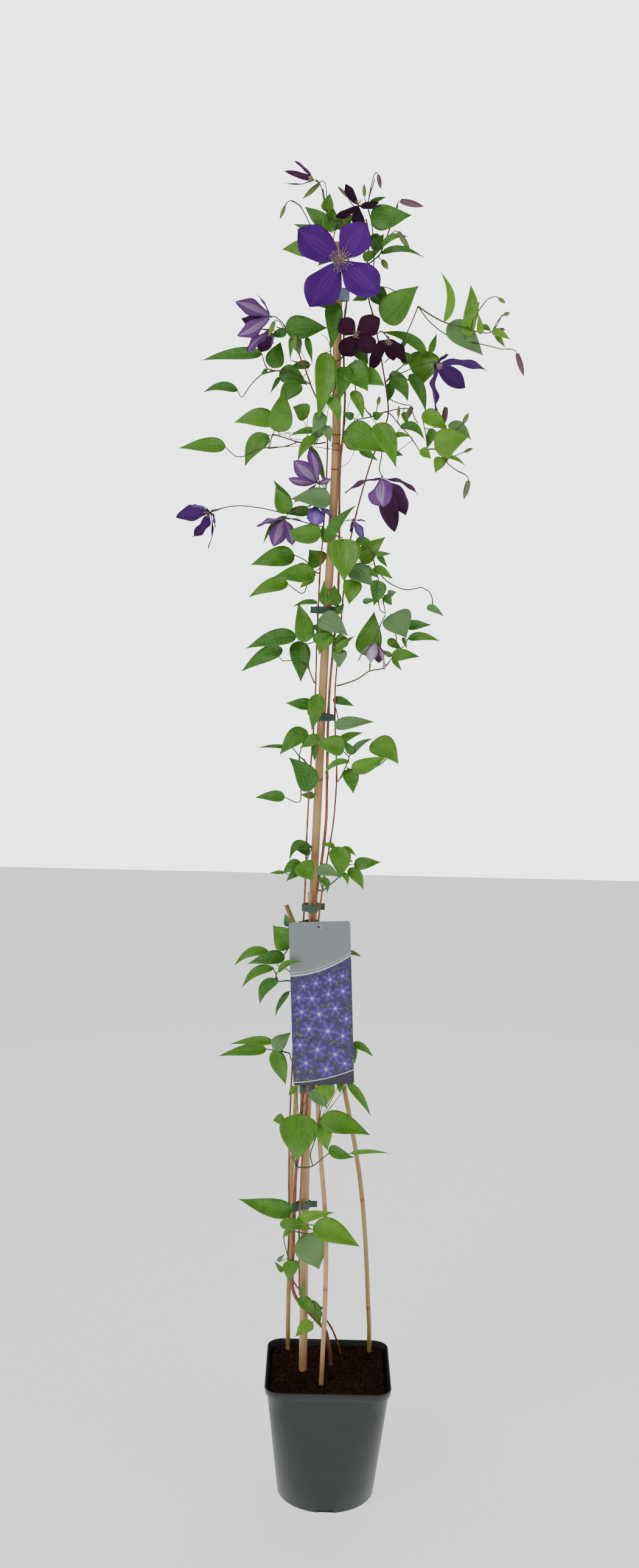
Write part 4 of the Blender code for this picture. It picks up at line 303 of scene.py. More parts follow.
            (88, 1329, 125, 1331, 14, 8, 8, 1), (92, 1311, 140, 1307, 12, 8, 2, 5),
            (62, 1308, 83, 1295, 12, 16, 20), (68, 1284, 110, 1284, 17, 8, 0, 3),
            (70, 1281, 84, 1263, 7, 10, 12), (68, 1284, 54, 1293, 7, 10, 8),
            (84, 1312, 91, 1295, 5, 10, 10)],
        buds=[]),
    "spray_1200": dict(
        stems=[[(-45.6, 1190, 3), (-52, 1196, 0), (-52, 1208, 0), (-46, 1212, 0)],
            [(-45.6, 1190, 3), (-48, 1204, -12), (-44, 1218, -14), (-38, 1226, -14)]],
        leaves=[(-46, 1211, -86, 1212, 17, 0, 0, 0), (-38, 1226, -46, 1172, 23, -14, -18, 0)],
        buds=[]),
    "spray_1200_right": dict(
        stems=[[(-9.2, 1187, 10), (-7, 1184, 10), (-3, 1181, 8)],
            [(-7, 1184, 10), (-10, 1200, 16), (-15, 1217, 16)]],
        leaves=[(-16, 1219, 16, 1209, 12, 16, 12, 2), (-13, 1180, 47, 1187, 18, -2, -10, 3)],
        buds=[]),
    "spray_left_1140": dict(
        stems=[[(-50, 1118, 4), (-56, 1128, 2), (-64, 1134, 2), (-74, 1146, 2), (-82, 1147, 2)],
            [(-64, 1134, 2), (-60, 1150, 4), (-54, 1166, 4)],
            [(-50, 1118, 4), (-50, 1092, -8), (-46, 1084, -8)],
            [(-64, 1134, 2), (-61, 1098, 2), (-62, 1066, 2), (-84, 1073, 2)]],
        leaves=[(-54, 1173, -93, 1135, 26, 4, -4, 4), (-82, 1147, -127, 1145, 5, 2, 2, 2),
            (-36, 1165, -63, 1146, 16, -8, -2), (-45, 1084, -79, 1132, 33, -8, -4, 6),
            (-42, 1152, -41, 1127, 9, -4, -8), (-84, 1073, -128, 1071, 16, 2, -2, 2),
            (-40, 1076, -61, 1077, 10, 8, 12)],
        buds=[]),
    "spray_right_1140": dict(
        stems=[[(-6, 1096, 4), (-2, 1104, -2), (6, 1122, -6), (10, 1134, -6)],
            [(-2, 1104, -2), (18, 1108, -2), (52, 1122, -4), (66, 1134, -4)],
            [(10, 1134, -6), (-1, 1145, -12)]],
        leaves=[(3, 1147, -42, 1153, 29, -15, -18, 3), (-8, 1154, 31, 1171, 12, -2, 2, 4),
            (14, 1140, 2, 1159, 12, -8, -10), (42, 1156, 83, 1125, 34, 0, -8, 8),
            (13, 1139, 46, 1163, 9, -4, 0, 5), (14, 1116, 67, 1138, 22, -11, -14, -2),
            (10, 1128, -28, 1105, 9, -18, -24, 8), (9, 1117, 17, 1080, 23, -9, -16, 2)],
        buds=[]),
    "spray_left_970": dict(
        stems=[[(-54, 962, 2), (-56, 968, -10), (-60, 974, -14)],
            [(-54, 962, 2), (-48, 984, -10), (-42, 998, -8)],
            [(-56, 968, -10), (-66, 955, -10), (-62, 962, -12)]],
        leaves=[(-42, 1000, -75, 977, 15, -8, -12, 14), (-44, 990, -67, 995, 12, -4, 2, 2),
            (-56, 974, -86, 957, 18, -8, -12, 4), (-84, 961, -105, 959, 5, -10, -10),
            (-60, 975, -40, 948, 30, -14, -18, 2), (-60, 962, -79, 947, 11, -14, -18, 2)],
        buds=[]),
    "spray_right_970": dict(
        stems=[[(-33.5, 935, -10.8), (-24, 934, -18), (-18, 940, -20), (-4, 952, -14), (2, 960, -12),
                (10, 974, -8), (18, 974, -8)],
            [(-24, 934, -18), (-30, 952, -20), (-34, 965, -22)],
            [(2, 960, -12), (-4, 976, -12), (-4, 1000, -10)]],
        leaves=[(-4, 1001, 1, 953, 31, -12, -16, 3), (-34, 966, 1, 955, 18, -26, -28, 4),
            (0, 997, 24, 987, 9, -8, -8, 4), (-8, 1000, -28, 1003, 8, -6, -2, 2),
            (21, 974, 61, 979, 18, -8, -12, 1), (14, 969, 36, 937, 17, -10, -8, 3),
            (4, 962, 12, 943, 8, -18, -22, 3), (-32, 953, -19, 929, 11, -26, -30, 8),
            (6, 979, 20, 980, 5, -8, -8)],
        buds=[]),
    "spray_850": dict(
        stems=[[(-67, 795, 14), (-74, 797, 10), (-88, 795, 6), (-92, 800, 6), (-90, 810, 6)],
            [(-67, 795, 14), (-72, 812, 8), (-90, 820, 8), (-80, 836, 6), (-74, 846, 6)],
            [(-88, 795, 6), (-92, 806, 4), (-96, 816, 4)],
            [(-67, 795, 14), (-64, 832, 14), (-50, 842, 8), (-12, 842, -4), (14, 842, -4)],
            [(-67, 795, 14), (-66, 782, 12), (-72, 780, 10)]],
        leaves=[(-73, 846, -98, 880, 36, 4, 10, 3), (-74, 879, -80, 899, 11, 8, 10),
            (-79, 833, -134, 821, 20, 2, -4, 3), (-104, 841, -155, 817, 14, 12, 10, 9),
            (-88, 810, -50, 826, 9, -18, -30, 7), (-96, 816, -143, 783, 14, 2, 0, 9),
            (-90, 799, -115, 759, 18, 4, 0, 8), (-72, 780, -92, 741, 8, 8, 8, 3),
            (14, 842, 36, 835, 6, -4, -6, 2)],
        buds=[]),
    "spray_700": dict(
        stems=[[(-70, 684, 21), (-78, 688, 12), (-94, 690, 10), (-104, 691, 8)],
            [(-78, 688, 12), (-88, 700, 12), (-95, 703, 12)],
            [(-70, 684, 21), (-60, 672, 32), (-20, 690, 12), (24, 702, 6)]],
        leaves=[(-95, 703, -158, 698, 13, 12, 10, 3), (-104, 691, -176, 679, 17, 8, 2, 3),
            (-94, 693, -68, 718, 22, 6, 12), (-92, 690, -73, 637, 24, 8, 14),
            (24, 703, 57, 683, 11, 6, 4, 4), (26, 700, 29, 671, 11, 8, 12)],
        buds=[]),
    "spray_580": dict(
        stems=[[(-56.6, 510, -7.5), (-44, 509, -24), (-30, 512, -30), (-16, 524, -30), (-6, 532, -26)],
            [(-56.6, 510, -7.5), (-60, 540, -16), (-58, 570, -20), (-54, 590, -20)],
            [(-30, 512, -30), (-34, 530, -26), (-28, 552, -24), (-22, 582, -22)]],
        leaves=[(-53, 592, -54, 519, 57, -20, -34, 1), (-75, 585, -92, 582, 15, -10, -6),
            (-20, 585, 56, 562, 33, -24, -30, 4), (-18, 576, -8, 537, 24, -24, -30),
            (-13, 645, -12, 605, 25, -22, -26, 0), (-34, 630, -10, 602, 19, -24, -28),
            (20, 642, 56, 591, 12, -10, -14, 3), (8, 643, 8, 626, 9, -8, -10),
            (-6, 541, 32, 527, 17, -26, -28, -3), (27, 533, 88, 534, 6, -24, -28, 3),
            (-58, 634, -69, 621, 10, -12, -10)],
        buds=[]),
    "spray_400": dict(
        stems=[[(-59.5, 412, -6.5), (-64, 418, -12), (-66, 432, -14), (-62, 440, -14)],
            [(-59.5, 412, -6.5), (-52, 408, -20), (-42, 418, -32), (-28, 420, -34)],
            [(-52, 408, -20), (-40, 406, -22)],
            [(-64, 418, -12), (-72, 404, -10), (-68, 380, -10), (-62, 364, -12)]],
        leaves=[(-60, 441, -142, 458, 28, -16, -22, -2), (-78, 421, -27, 412, 17, -34, -38, 3),
            (-52, 427, 5, 440, 15, -36, -38, 2), (-27, 419, 44, 387, 35, -36, -44, 4),
            (-38, 406, -16, 350, 50, -20, -14, 0), (-62, 412, -73, 399, 8, -14, -16),
            (-60, 363, -63, 330, 22, -14, -20), (-72, 345, -85, 361, 7, -14, -16),
            (-80, 361, -70, 373, 6, -12, -12), (-54, 363, -45, 347, 7, -14, -16)],
        buds=[]),
    "spray_300": dict(
        stems=[[(-39, 300, -9), (-40, 304, -14), (-42, 308, -14)],
            [(-40, 304, -14), (-20, 296, -14), (-8, 286, -12)]],
        leaves=[(-46, 305, -21, 276, 19, -16, -18, 2), (-28, 301, -14, 261, 14, -14, -12, 3),
            (-25, 266, -51, 242, 19, -14, -20, 2), (-18, 286, -7, 291, 4, -12, -12),
            (-42, 310, -39, 333, 6, -14, -12)],
        buds=[]),
}

# Blooms: the stalk's route ends at the heart, axis is where the bloom faces, and each sepal is
# its tip (x, z, y) with its width and how far its middle bulges outwards.
BLOOMS = {
    "bloom_top_left": dict(
        stalk=[(-19, 1900, 21.5), (-36, 1898, 28), (-44, 1922, 22), (-49, 1946, 20), (-54, 1955, 20)],
        heart=(-59, 1957, 20), axis=(-1, -0.2, 0.15), tone="pink",
        sepals=[(-103, 1952, 12, 9, 0.09), (-103, 1969, 26, 8, 0.08), (-89, 1984, 18, 9, 0.06),
            (-92, 1966, 38, 9, 0.1)]),
    "bloom_top": dict(
        stalk=[(-13, 1905, 14.2), (-8, 1907, 8), (-2, 1914, 4), (2, 1921, 0)],
        heart=(3, 1923, -2), axis=(0.15, -0.8, 0.5), tone="dusk",
        sepals=[(-16, 1953, -6, 15, 0.05), (-29, 1905, -16, 13, 0.08), (33, 1927, -14, 16, 0.08),
            (6, 1884, -18, 19, 0.05)]),
    "bloom_main": dict(
        stalk=[(-12, 1826, 1.3), (-16, 1834, -8), (-19, 1842, -18), (-20, 1845, -24)],
        heart=(-20, 1846, -28), axis=(0.02, -1, 0.06), tone="violet",
        sepals=[(-83, 1888, -44, 50, 0.05), (15, 1900, -42, 46, 0.05), (-63, 1780, -46, 50, 0.05),
            (36, 1801, -44, 50, 0.05)]),
    "bloom_maroon": dict(
        stalk=[(-9.5, 1768, -0.6), (-4, 1762, -8), (2, 1752, -16), (4, 1745, -22)],
        heart=(4, 1743, -25), axis=(0.05, -1, -0.1), tone="maroon",
        sepals=[(-19, 1764, -34, 27, 0.05), (38, 1768, -32, 30, 0.06), (33, 1721, -36, 27, 0.06),
            (-14, 1712, -36, 28, 0.06)]),
    "bloom_maroon_low": dict(
        stalk=[(35.3, 1745, 17.5), (38, 1748, 8), (42, 1749, -2), (48, 1743, -8)],
        heart=(52, 1739, -10), axis=(-0.1, -0.6, -0.8), tone="maroon",
        sepals=[(26, 1713, -26, 16, 0.1), (25, 1692, -14, 18, 0.1), (78, 1706, -24, 22, 0.1),
            (60, 1708, 6, 20, 0.1)]),
    "bloom_left_upper": dict(
        stalk=[(-101, 1758.5, 28), (-106, 1762, 20), (-112, 1766, 8), (-116, 1766, 0)],
        heart=(-119, 1766, -2), axis=(-0.9, 0.4, 0.1), tone="lilac",
        sepals=[(-169, 1786, -10, 25, 0.1), (-165, 1738, -12, 27, 0.1), (-138, 1797, 10, 11, 0.08),
            (-160, 1762, 22, 24, 0.1)]),
    "bloom_left_lower": dict(
        stalk=[(-96, 1747, 31.8), (-104, 1740, 34), (-110, 1744, 26), (-114, 1748, 14)],
        heart=(-117, 1748, 10), axis=(-0.6, -0.1, -0.8), tone="lilac",
        sepals=[(-166, 1741, 2, 12, 0.08), (-151, 1716, 0, 28, 0.1), (-115, 1727, 4, 13, 0.12),
            (-134, 1716, 32, 22, 0.12)]),
    "bloom_right": dict(
        stalk=[(51, 1680.5, 20), (70, 1690, 18), (92, 1700, 14), (108, 1706, 0), (117, 1707, -8)],
        heart=(121, 1706, -10), axis=(0.75, -0.3, -0.6), tone="blue",
        sepals=[(195, 1699, -22, 24, 0.1), (123, 1639, -22, 46, 0.08), (139, 1719, -4, 10, 0.08),
            (164, 1672, 22, 26, 0.1)]),
    "bloom_far_left": dict(
        stalk=[(-38, 1484, 0.5), (-52, 1486, 8), (-74, 1485, 12), (-100, 1489, 14), (-125, 1494, 14),
            (-155, 1497, 12), (-175, 1495, 8), (-192, 1490, 2)],
        heart=(-200, 1488, 0), axis=(-0.8, -0.35, -0.5), tone="blue",
        sepals=[(-250, 1479, 6, 26, 0.1), (-224, 1450, -4, 30, 0.12), (-203, 1434, -14, 11, 0.1),
            (-228, 1494, -18, 22, 0.16), (-194, 1464, -18, 20, 0.12)]),
    "bloom_1545": dict(
        stalk=[(-34.3, 1515, -0.9), (-34, 1522, -6), (-38, 1529, -10), (-42, 1531, -14)],
        heart=(-46, 1532, -16), axis=(-0.6, 0.6, 0.5), tone="lilac",
        sepals=[(-81, 1563, -24, 24, 0.1), (-58, 1581, -12, 22, 0.1), (-89, 1537, -18, 14, 0.1),
            (-80, 1503, -26, 10, 0.08), (-26, 1538, -16, 12, 0.1)]),
    "bloom_1460": dict(
        stalk=[(-38.5, 1470, 0.5), (-50, 1472, 2), (-66, 1476, -2), (-84, 1480, -10)],
        heart=(-92, 1480, -12), axis=(-0.3, 0.3, -0.9), tone="lilac",
        sepals=[(-133, 1468, -18, 17, 0.1), (-108, 1440, -26, 25, 0.1), (-80, 1441, -22, 23, 0.1),
            (-66, 1478, -16, 9, 0.06)]),
    "bloom_1485": dict(
        stalk=[(-37.5, 1493, 0.5), (-40, 1497, -4), (-44, 1500, -10)],
        heart=(-46, 1499, -13), axis=(-0.1, 0.2, -0.95), tone="blue",
        sepals=[(-48, 1470, -24, 26, 0.12), (-24, 1484, -22, 19, 0.12), (-60, 1488, -16, 14, 0.12)]),
    "bloom_1475_right": dict(
        stalk=[(4.7, 1463, 12.5), (4, 1472, 6), (6, 1479, 2)],
        heart=(8, 1480, 0), axis=(0.3, 0.1, -0.9), tone="blue",
        sepals=[(25, 1479, -8, 11, 0.1), (22, 1453, -4, 14, 0.1), (-6, 1478, -6, 10, 0.1),
            (4, 1462, 6, 12, 0.1)]),
    "bloom_wide": dict(
        stalk=[(36.6, 1581, 15), (46, 1580, 8), (45, 1566, 2), (43, 1553, -4), (47, 1545, -8)],
        heart=(48, 1541, -10), axis=(0.25, -0.15, -0.95), tone="lilac",
        sepals=[(-6, 1519, -4, 22, 0.12), (101, 1520, -10, 20, 0.14), (50, 1500, -34, 42, 0.16),
            (84, 1489, 12, 30, 0.14), (68, 1464, -2, 27, 0.1)]),
    "bloom_low": dict(
        stalk=[(57.5, 1344.5, -10), (52, 1332, -12), (46, 1316, -12), (44, 1308, -10)],
        heart=(44, 1304, -10), axis=(0.0, -0.1, -1), tone="white",
        sepals=[(19, 1276, -14, 17, 0.12), (59, 1264, -18, 22, 0.12), (38, 1275, -28, 18, 0.14),
            (50, 1274, 8, 20, 0.12)]),
}

TIES = ("tie_1800", "tie_1349", "tie_1192", "tie_908", "tie_885", "tie_632", "tie_448")


def linear(channel):
    """An sRGB channel from 0 to 1 as a linear value."""
    return channel / 12.92 if channel <= 0.04045 else ((channel + 0.055) / 1.055) ** 2.4


def shade(text):
    """A colour written as sRGB hex, as linear values."""
    return [linear(int(text[i:i + 2], 16) / 255) for i in (1, 3, 5)] + [1.0]


class Nodes:
    """A material's node tree, with short ways to add and join its nodes."""

    def __init__(self, name):
        self.material = bpy.data.materials.new(name)
        self.material.use_nodes = True
        self.tree = self.material.node_tree
        self.shader = self.tree.nodes["Principled BSDF"]

    def add(self, kind, inputs=None, **settings):
        node = self.tree.nodes.new(kind)
        for key, value in settings.items():
            setattr(node, key, value)
        for key, value in (inputs or {}).items():
            self.give(node.inputs[key], value)
        return node

    def give(self, socket, value):
        """Joins another node's output to the socket, or sets a plain value on it."""
        if isinstance(value, bpy.types.NodeSocket):
            self.tree.links.new(value, socket)
        else:
            socket.default_value = value

    def math(self, operation, a, b=0.0, clamp=False):
        """The result of a sum; the named ones follow."""
        node = self.add("ShaderNodeMath", {0: a, 1: b}, operation=operation)
        node.use_clamp = clamp
        return node.outputs[0]

    plus = partialmethod(math, "ADD")
    minus = partialmethod(math, "SUBTRACT")
    times = partialmethod(math, "MULTIPLY")
    over = partialmethod(math, "DIVIDE")
    power = partialmethod(math, "POWER")
    size_of = partialmethod(math, "ABSOLUTE")
    most = partialmethod(math, "MAXIMUM")
    beyond = partialmethod(math, "GREATER_THAN")

    def ramp(self, value, stops):
        """Colours blended by a value, each stop a place and a colour."""
        node = self.add("ShaderNodeValToRGB", {0: value})
        elements = node.color_ramp.elements
        while len(elements) < len(stops):
            elements.new(0.5)
        for element, (place, colour) in zip(elements, stops):
            element.position = place
            element.color = shade(colour)
        return node.outputs[0]

    def scaled(self, vector, factor):
        node = self.add("ShaderNodeVectorMath", {0: vector, "Scale": factor}, operation="SCALE")
        return node.outputs[0]

    def mix(self, share, first, second):
        node = self.add("ShaderNodeMix", data_type="RGBA")
        self.give(node.inputs["Factor"], share)
        self.give(node.inputs[6], shade(first) if isinstance(first, str) else first)
        self.give(node.inputs[7], shade(second) if isinstance(second, str) else second)
        return node.outputs[2]

    def place(self, scale=(1, 1, 1)):
        """Object coordinates in millimetres, stretched by the scale."""
        source = self.add("ShaderNodeTexCoord").outputs["Object"]
        node = self.add("ShaderNodeMapping", {"Vector": source,
                                              "Scale": tuple(1000 * s for s in scale)})
        return node.outputs[0]

    def noise(self, where, size, detail=3.0, rough=0.55):
        """Noise whose cells are about that many millimetres across."""
        return self.add("ShaderNodeTexNoise", {"Vector": where, "Scale": 1.0 / size, "Detail": detail,
                                               "Roughness": rough}).outputs["Fac"]

    def split(self, vector):
        return self.add("ShaderNodeSeparateXYZ", {0: vector}).outputs

    def own(self, name):
        """A number that the mesh carries, such as each blade's tone from 0 to 1."""
        return self.add("ShaderNodeAttribute", attribute_name=name).outputs["Fac"]

    def bands(self, direction, **inputs):
        """Wavy bands over a blade's UV map."""
        where = {"Vector": self.add("ShaderNodeUVMap").outputs[0]}
        settings = {key.replace("_", " "): value for key, value in inputs.items()}
        return self.add("ShaderNodeTexWave", {**where, **settings}, wave_type="BANDS",
                        bands_direction=direction).outputs["Fac"]

    def across(self):
        """How far along and how far across a blade a point lies: 0 to 1, and -1 to 1."""
        along, side, _ = self.split(self.add("ShaderNodeUVMap").outputs[0])
        return along, self.times(self.minus(side, 0.5), 2.0)

    def bump(self, height, distance, strength):
        """Relief of that many millimetres."""
        node = self.add("ShaderNodeBump", {"Height": height, "Distance": distance * MM,
                                           "Strength": strength})
        self.give(self.shader.inputs["Normal"], node.outputs[0])

    def finish(self, colour, rough, **sockets):
        """The material with its colour, gloss and any other sockets of its shader."""
        self.give(self.shader.inputs["Base Color"], colour)
        self.give(self.shader.inputs["Roughness"], rough)
        for key, value in sockets.items():
            self.give(self.shader.inputs[key.replace("_", " ")], value)
        return self.material


def rib_mask(n, side, along, ribs, width):
    """One near each rib: ribs fan from the foot and meet at the tip."""
    spread = n.minus(1.0, n.power(along, 2.6))
    lines = None
    for rib in ribs:
        gap = n.size_of(n.minus(side, n.times(spread, rib)))
        line = n.minus(1.0, n.over(gap, width), clamp=True)
        lines = line if lines is None else n.most(lines, line)
    return lines


# How far each main rib lies from the midrib, as a share of the half width.
LEAF_VEINS = (0.0, 0.42, -0.42)
SEPAL_RIBS = (0.0, 0.3, -0.3)


def leaf_material(name, dark, middle, light, vein, under):
    """Leaf skin: three greens by blade and blotch, a net of veins, specks and a paler underside."""
    n = Nodes(name)
    where = n.place()
    along, side = n.across()
    blot = n.noise(where, 14.0, 4.0)
    mixed = n.plus(n.times(n.own("tone"), 0.7), n.times(blot, 0.45))
    colour = n.ramp(mixed, ((0.25, dark), (0.55, middle), (0.95, light)))
    veins = rib_mask(n, side, along, LEAF_VEINS, 0.045)
    fine = n.power(n.bands("X", Scale=5.0, Distortion=6.0, Detail=2.0), 6.0)
    net = n.most(veins, n.times(fine, 0.12))
    colour = n.mix(n.times(net, 0.3), colour, vein)
    cells = n.add("ShaderNodeTexVoronoi", {"Vector": where, "Scale": 0.19}, feature="DISTANCE_TO_EDGE")
    small_veins = n.minus(1.0, n.times(cells.outputs["Distance"], 9.0), clamp=True)
    colour = n.mix(n.times(small_veins, 0.28), colour, vein)
    speck = n.beyond(n.noise(where, 3.0, 2.0), 0.73)
    colour = n.mix(n.times(speck, 0.35), colour, "#8a7a2c")
    colour = n.mix(n.times(n.own("under"), 0.6), colour, under)
    n.bump(n.minus(n.times(blot, 0.4), net), 0.5, 0.55)
    return n.finish(colour, 0.46, Coat_Weight=0.05, Coat_Roughness=0.35, Subsurface_Weight=0.08,
                    Subsurface_Radius=(0.004, 0.006, 0.002), Subsurface_Scale=0.3)


def sepal_material(name, outside, inside):
    """Petal skin; outside and inside each give the colours of body, edge and ribs."""
    n = Nodes(name)
    along, side = n.across()
    rim = n.power(n.size_of(side), 3.0)
    lines = n.power(rib_mask(n, side, along, SEPAL_RIBS, 0.2), 1.6)
    faces = []
    for (body, edge, rib), share in ((outside, 0.66), (inside, 0.4)):
        face = n.mix(n.times(rim, 0.8), body, edge)
        faces.append(n.mix(n.times(lines, share), face, rib))
    colour = n.mix(n.own("under"), *faces)
    streak = n.bands("Y", Scale=7.0, Distortion=3.0, Detail=3.0, Detail_Scale=2.0)
    colour = n.mix(n.times(streak, 0.07), colour, outside[2])
    shaded = n.scaled(colour, n.plus(0.82, n.times(n.own("tone"), 0.32)))
    height = n.plus(n.times(lines, -0.8), n.times(n.noise(n.place(), 2.2, 3.0), 0.2))
    n.bump(n.plus(height, n.times(streak, 0.15)), 0.8, 0.6)
    return n.finish(shaded, 0.6, Specular_IOR_Level=0.12, Subsurface_Weight=0.06,
                    Subsurface_Radius=(0.004, 0.003, 0.006), Subsurface_Scale=0.3)


def stem_material(name, first, second, spot, size=6.0, rough=0.5, own=0.0):
    """Stem or bark: two colours in long streaks, with spots; own lets each piece lean to one."""
    n = Nodes(name)
    streaks = n.noise(n.place((1.0, 1.0, 0.18)), size, 5.0)
    leaning = n.plus(streaks, n.times(n.minus(n.own("tone"), 0.5), own))
    colour = n.ramp(leaning, ((0.35, first), (0.65, second)))
    colour = n.mix(n.beyond(n.noise(n.place(), size * 0.8, 2.0), 0.66), colour, spot)
    n.bump(streaks, 0.35, 0.5)
    return n.finish(colour, rough)


def cane_material(name, pale, warm, dark):
    """Dried bamboo: long fibres, darker blotches and a faint gloss."""
    n = Nodes(name)
    fibre = n.noise(n.place((1.0, 1.0, 0.03)), 0.7, 4.0, 0.6)
    blot = n.noise(n.place((1.0, 1.0, 0.3)), 22.0, 4.0)
    colour = n.ramp(fibre, ((0.3, warm), (0.7, pale)))
    colour = n.mix(n.ramp(blot, ((0.52, "#000000"), (0.68, "#a0a0a0"))), colour, dark)
    colour = n.mix(n.times(n.own("ring"), 0.75), colour, "#5e4326")
    n.bump(fibre, 0.18, 0.4)
    return n.finish(colour, 0.42, Coat_Weight=0.15, Coat_Roughness=0.3)


def start_piece(name, kind="MESH"):
    """An empty object in the scene, its data a mesh or a curve of the same name."""
    data = bpy.data.meshes.new(name) if kind == "MESH" else bpy.data.curves.new(name, "CURVE")
    item = bpy.data.objects.new(name, data)
    bpy.context.scene.collection.objects.link(item)
    return item


def made_mesh(item):
    """The mesh that an object's modifiers or curve settings make of it."""
    graph = bpy.context.evaluated_depsgraph_get()
    return bpy.data.meshes.new_from_object(item.evaluated_get(graph))


def settle(item, node, slot, *materials, angle=0):
    """The piece stands for its CAD node, rides with the body and takes its finish; edges sharper
    than the angle stay sharp, and none where it is 0."""
    for material in materials:
        item.data.materials.append(material)
    if item.type == "MESH":
        item.data.shade_smooth()
        if angle:
            item.data.set_sharp_from_angle(angle=math.radians(angle))
    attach(item, "root")
    if node:
        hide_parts(node)
    return item


def node_tree(name):
    """The search tree of a CAD node's mesh."""
    mesh = frame["nodes"][name].data
    return BVHTree.FromPolygons([v.co for v in mesh.vertices], [p.vertices[:] for p in mesh.polygons])


def smooth_route(points, step):
    """Points along a smooth curve through a route, about step apart, in metres."""
    route = []
    last = len(points) - 1
    for i in range(last):
        before, start, end, after = (points[max(i - 1, 0)], points[i], points[i + 1],
                                     points[min(i + 2, last)])
        pieces = max(1, round((end - start).length / step))
        for k in range(pieces):
            t = k / pieces
            route.append(0.5 * (2 * start + (end - before) * t
                                + (2 * before - 5 * start + 4 * end - after) * t ** 2
                                + (3 * start - before - 3 * end + after) * t ** 3))
    return route + [points[-1]]


# Vertices closer than this, in metres, are one.
WELD = 2e-6


class Sheet:
    """A mesh under way: its vertices, faces, UVs and the number of each blade."""

    def __init__(self):
        self.verts, self.uvs, self.tones, self.unders = [], [], [], []
        self.faces, self.indices = [], []

    def vertex(self, place, uv, tone, under=0.0):
        self.verts.append(place)
        self.uvs.append(uv)
        self.tones.append(tone)
        self.unders.append(under)

    def face(self, corners, material):
        self.faces.append(corners)
        self.indices.append(material)

    def grid(self, rows, tone, under=0.0):
        """Rows of points, each row's first and last the blade's rims."""
        first = len(self.verts)
        wide = len(rows[0])
        for i, row in enumerate(rows):
            for j, place in enumerate(row):
                self.vertex(place, (i / (len(rows) - 1), j / (wide - 1)), tone, under)
        for i in range(len(rows) - 1):
            for j in range(wide - 1):
                a = first + i * wide + j
                self.face((a, a + 1, a + wide + 1, a + wide), 0)

    def blade(self, rows, tone, thick, flip=0.0):
        """A thin closed blade: the grid, its back a little behind it, and a rim between them."""
        wide, tall = len(rows[0]), len(rows)
        first = len(self.verts)
        self.grid(rows, tone, flip)
        back = []
        for i, row in enumerate(rows):
            cells = []
            for j, place in enumerate(row):
                ahead = rows[min(i + 1, tall - 1)][j] - rows[max(i - 1, 0)][j]
                across = row[min(j + 1, wide - 1)] - row[max(j - 1, 0)]
                if across.length < 1e-7:
                    mid = rows[tall // 2]
                    across = mid[-1] - mid[0]
                cells.append(place - across.cross(ahead).normalized() * thick)
            back.append(cells)
        second = len(self.verts)
        self.grid([cells[::-1] for cells in back], tone, 1.0 - flip)
        edge = [(i, 0) for i in range(tall)] + [(tall - 1, j) for j in range(1, wide)]
        edge += [(i, wide - 1) for i in range(tall - 2, -1, -1)] + [(0, j) for j in range(wide - 2, 0, -1)]
        for (i, j), (k, m) in zip(edge, edge[1:] + edge[:1]):
            self.face((first + i * wide + j, first + k * wide + m,
                       second + k * wide + wide - 1 - m, second + i * wide + wide - 1 - j), 0)

    def rod(self, points, radii, sides, tone, material):
        """A closed rod through the points, as a band of quads and two caps."""
        first = len(self.verts)
        axis = (points[1] - points[0]).normalized()
        across = axis.orthogonal().normalized()
        for i, (place, radius) in enumerate(zip(points, radii)):
            ahead = points[min(i + 1, len(points) - 1)] - points[max(i - 1, 0)]
            if ahead.length > 0:
                turn = axis.rotation_difference(ahead.normalized())
                across.rotate(turn)
                axis = ahead.normalized()
            other = axis.cross(across)
            for k in range(sides):
                angle = 2 * math.pi * k / sides
                self.vertex(place + (across * math.cos(angle) + other * math.sin(angle)) * radius,
                            (i / (len(points) - 1), k / sides), tone)
        for i in range(len(points) - 1):
            for k in range(sides):
                a, b = first + i * sides + k, first + i * sides + (k + 1) % sides
                self.face((a, b, b + sides, a + sides), material)
        end = first + (len(points) - 1) * sides
        self.face(tuple(range(first, first + sides))[::-1], material)
        self.face(tuple(range(end, end + sides)), material)

    def take(self, mesh, turn, slots):
        """A ready mesh set in place; slots gives each of its materials its number here."""
        first = len(self.verts)
        for vertex in mesh.vertices:
            self.vertex(turn @ vertex.co, (0.5, 0.5), 0.5)
        for face in mesh.polygons:
            self.face([first + k for k in face.vertices], slots[mesh.materials[face.material_index].name])
        bpy.data.meshes.remove(mesh)

    def made(self, name):
        """The object of all that was gathered, with the seams inside each blade joined."""
        item = start_piece(name)
        mesh = item.data
        mesh.from_pydata(self.verts, [], self.faces)
        mesh.polygons.foreach_set("material_index", self.indices)
        layer = mesh.uv_layers.new(name="blade")
        for loop in mesh.loops:
            layer.data[loop.index].uv = self.uvs[loop.vertex_index]
        for key, values in (("tone", self.tones), ("under", self.unders)):
            mesh.attributes.new(key, "FLOAT", "POINT").data.foreach_set("value", values)
        shape = bmesh.new()
        shape.from_mesh(mesh)
        bmesh.ops.remove_doubles(shape, verts=shape.verts, dist=WELD)
        shape.to_mesh(mesh)
        shape.free()
        return item


def leaf_rim(s):
    """How far along and how wide a leaf is at step s: a round foot, widest low, a drawn-out tip."""
    along = s - 0.12 * math.sin(math.pi * s) * (1 - s) ** 3
    return along, max(0.0, math.sin(math.pi * s ** 0.6)) ** 1.1


def sepal_width(s):
    """How wide a sepal is at step s: narrow foot, broad past the middle."""
    return math.sin(math.pi * s ** 1.25) ** 0.8 if 0 < s < 1 else 0.0


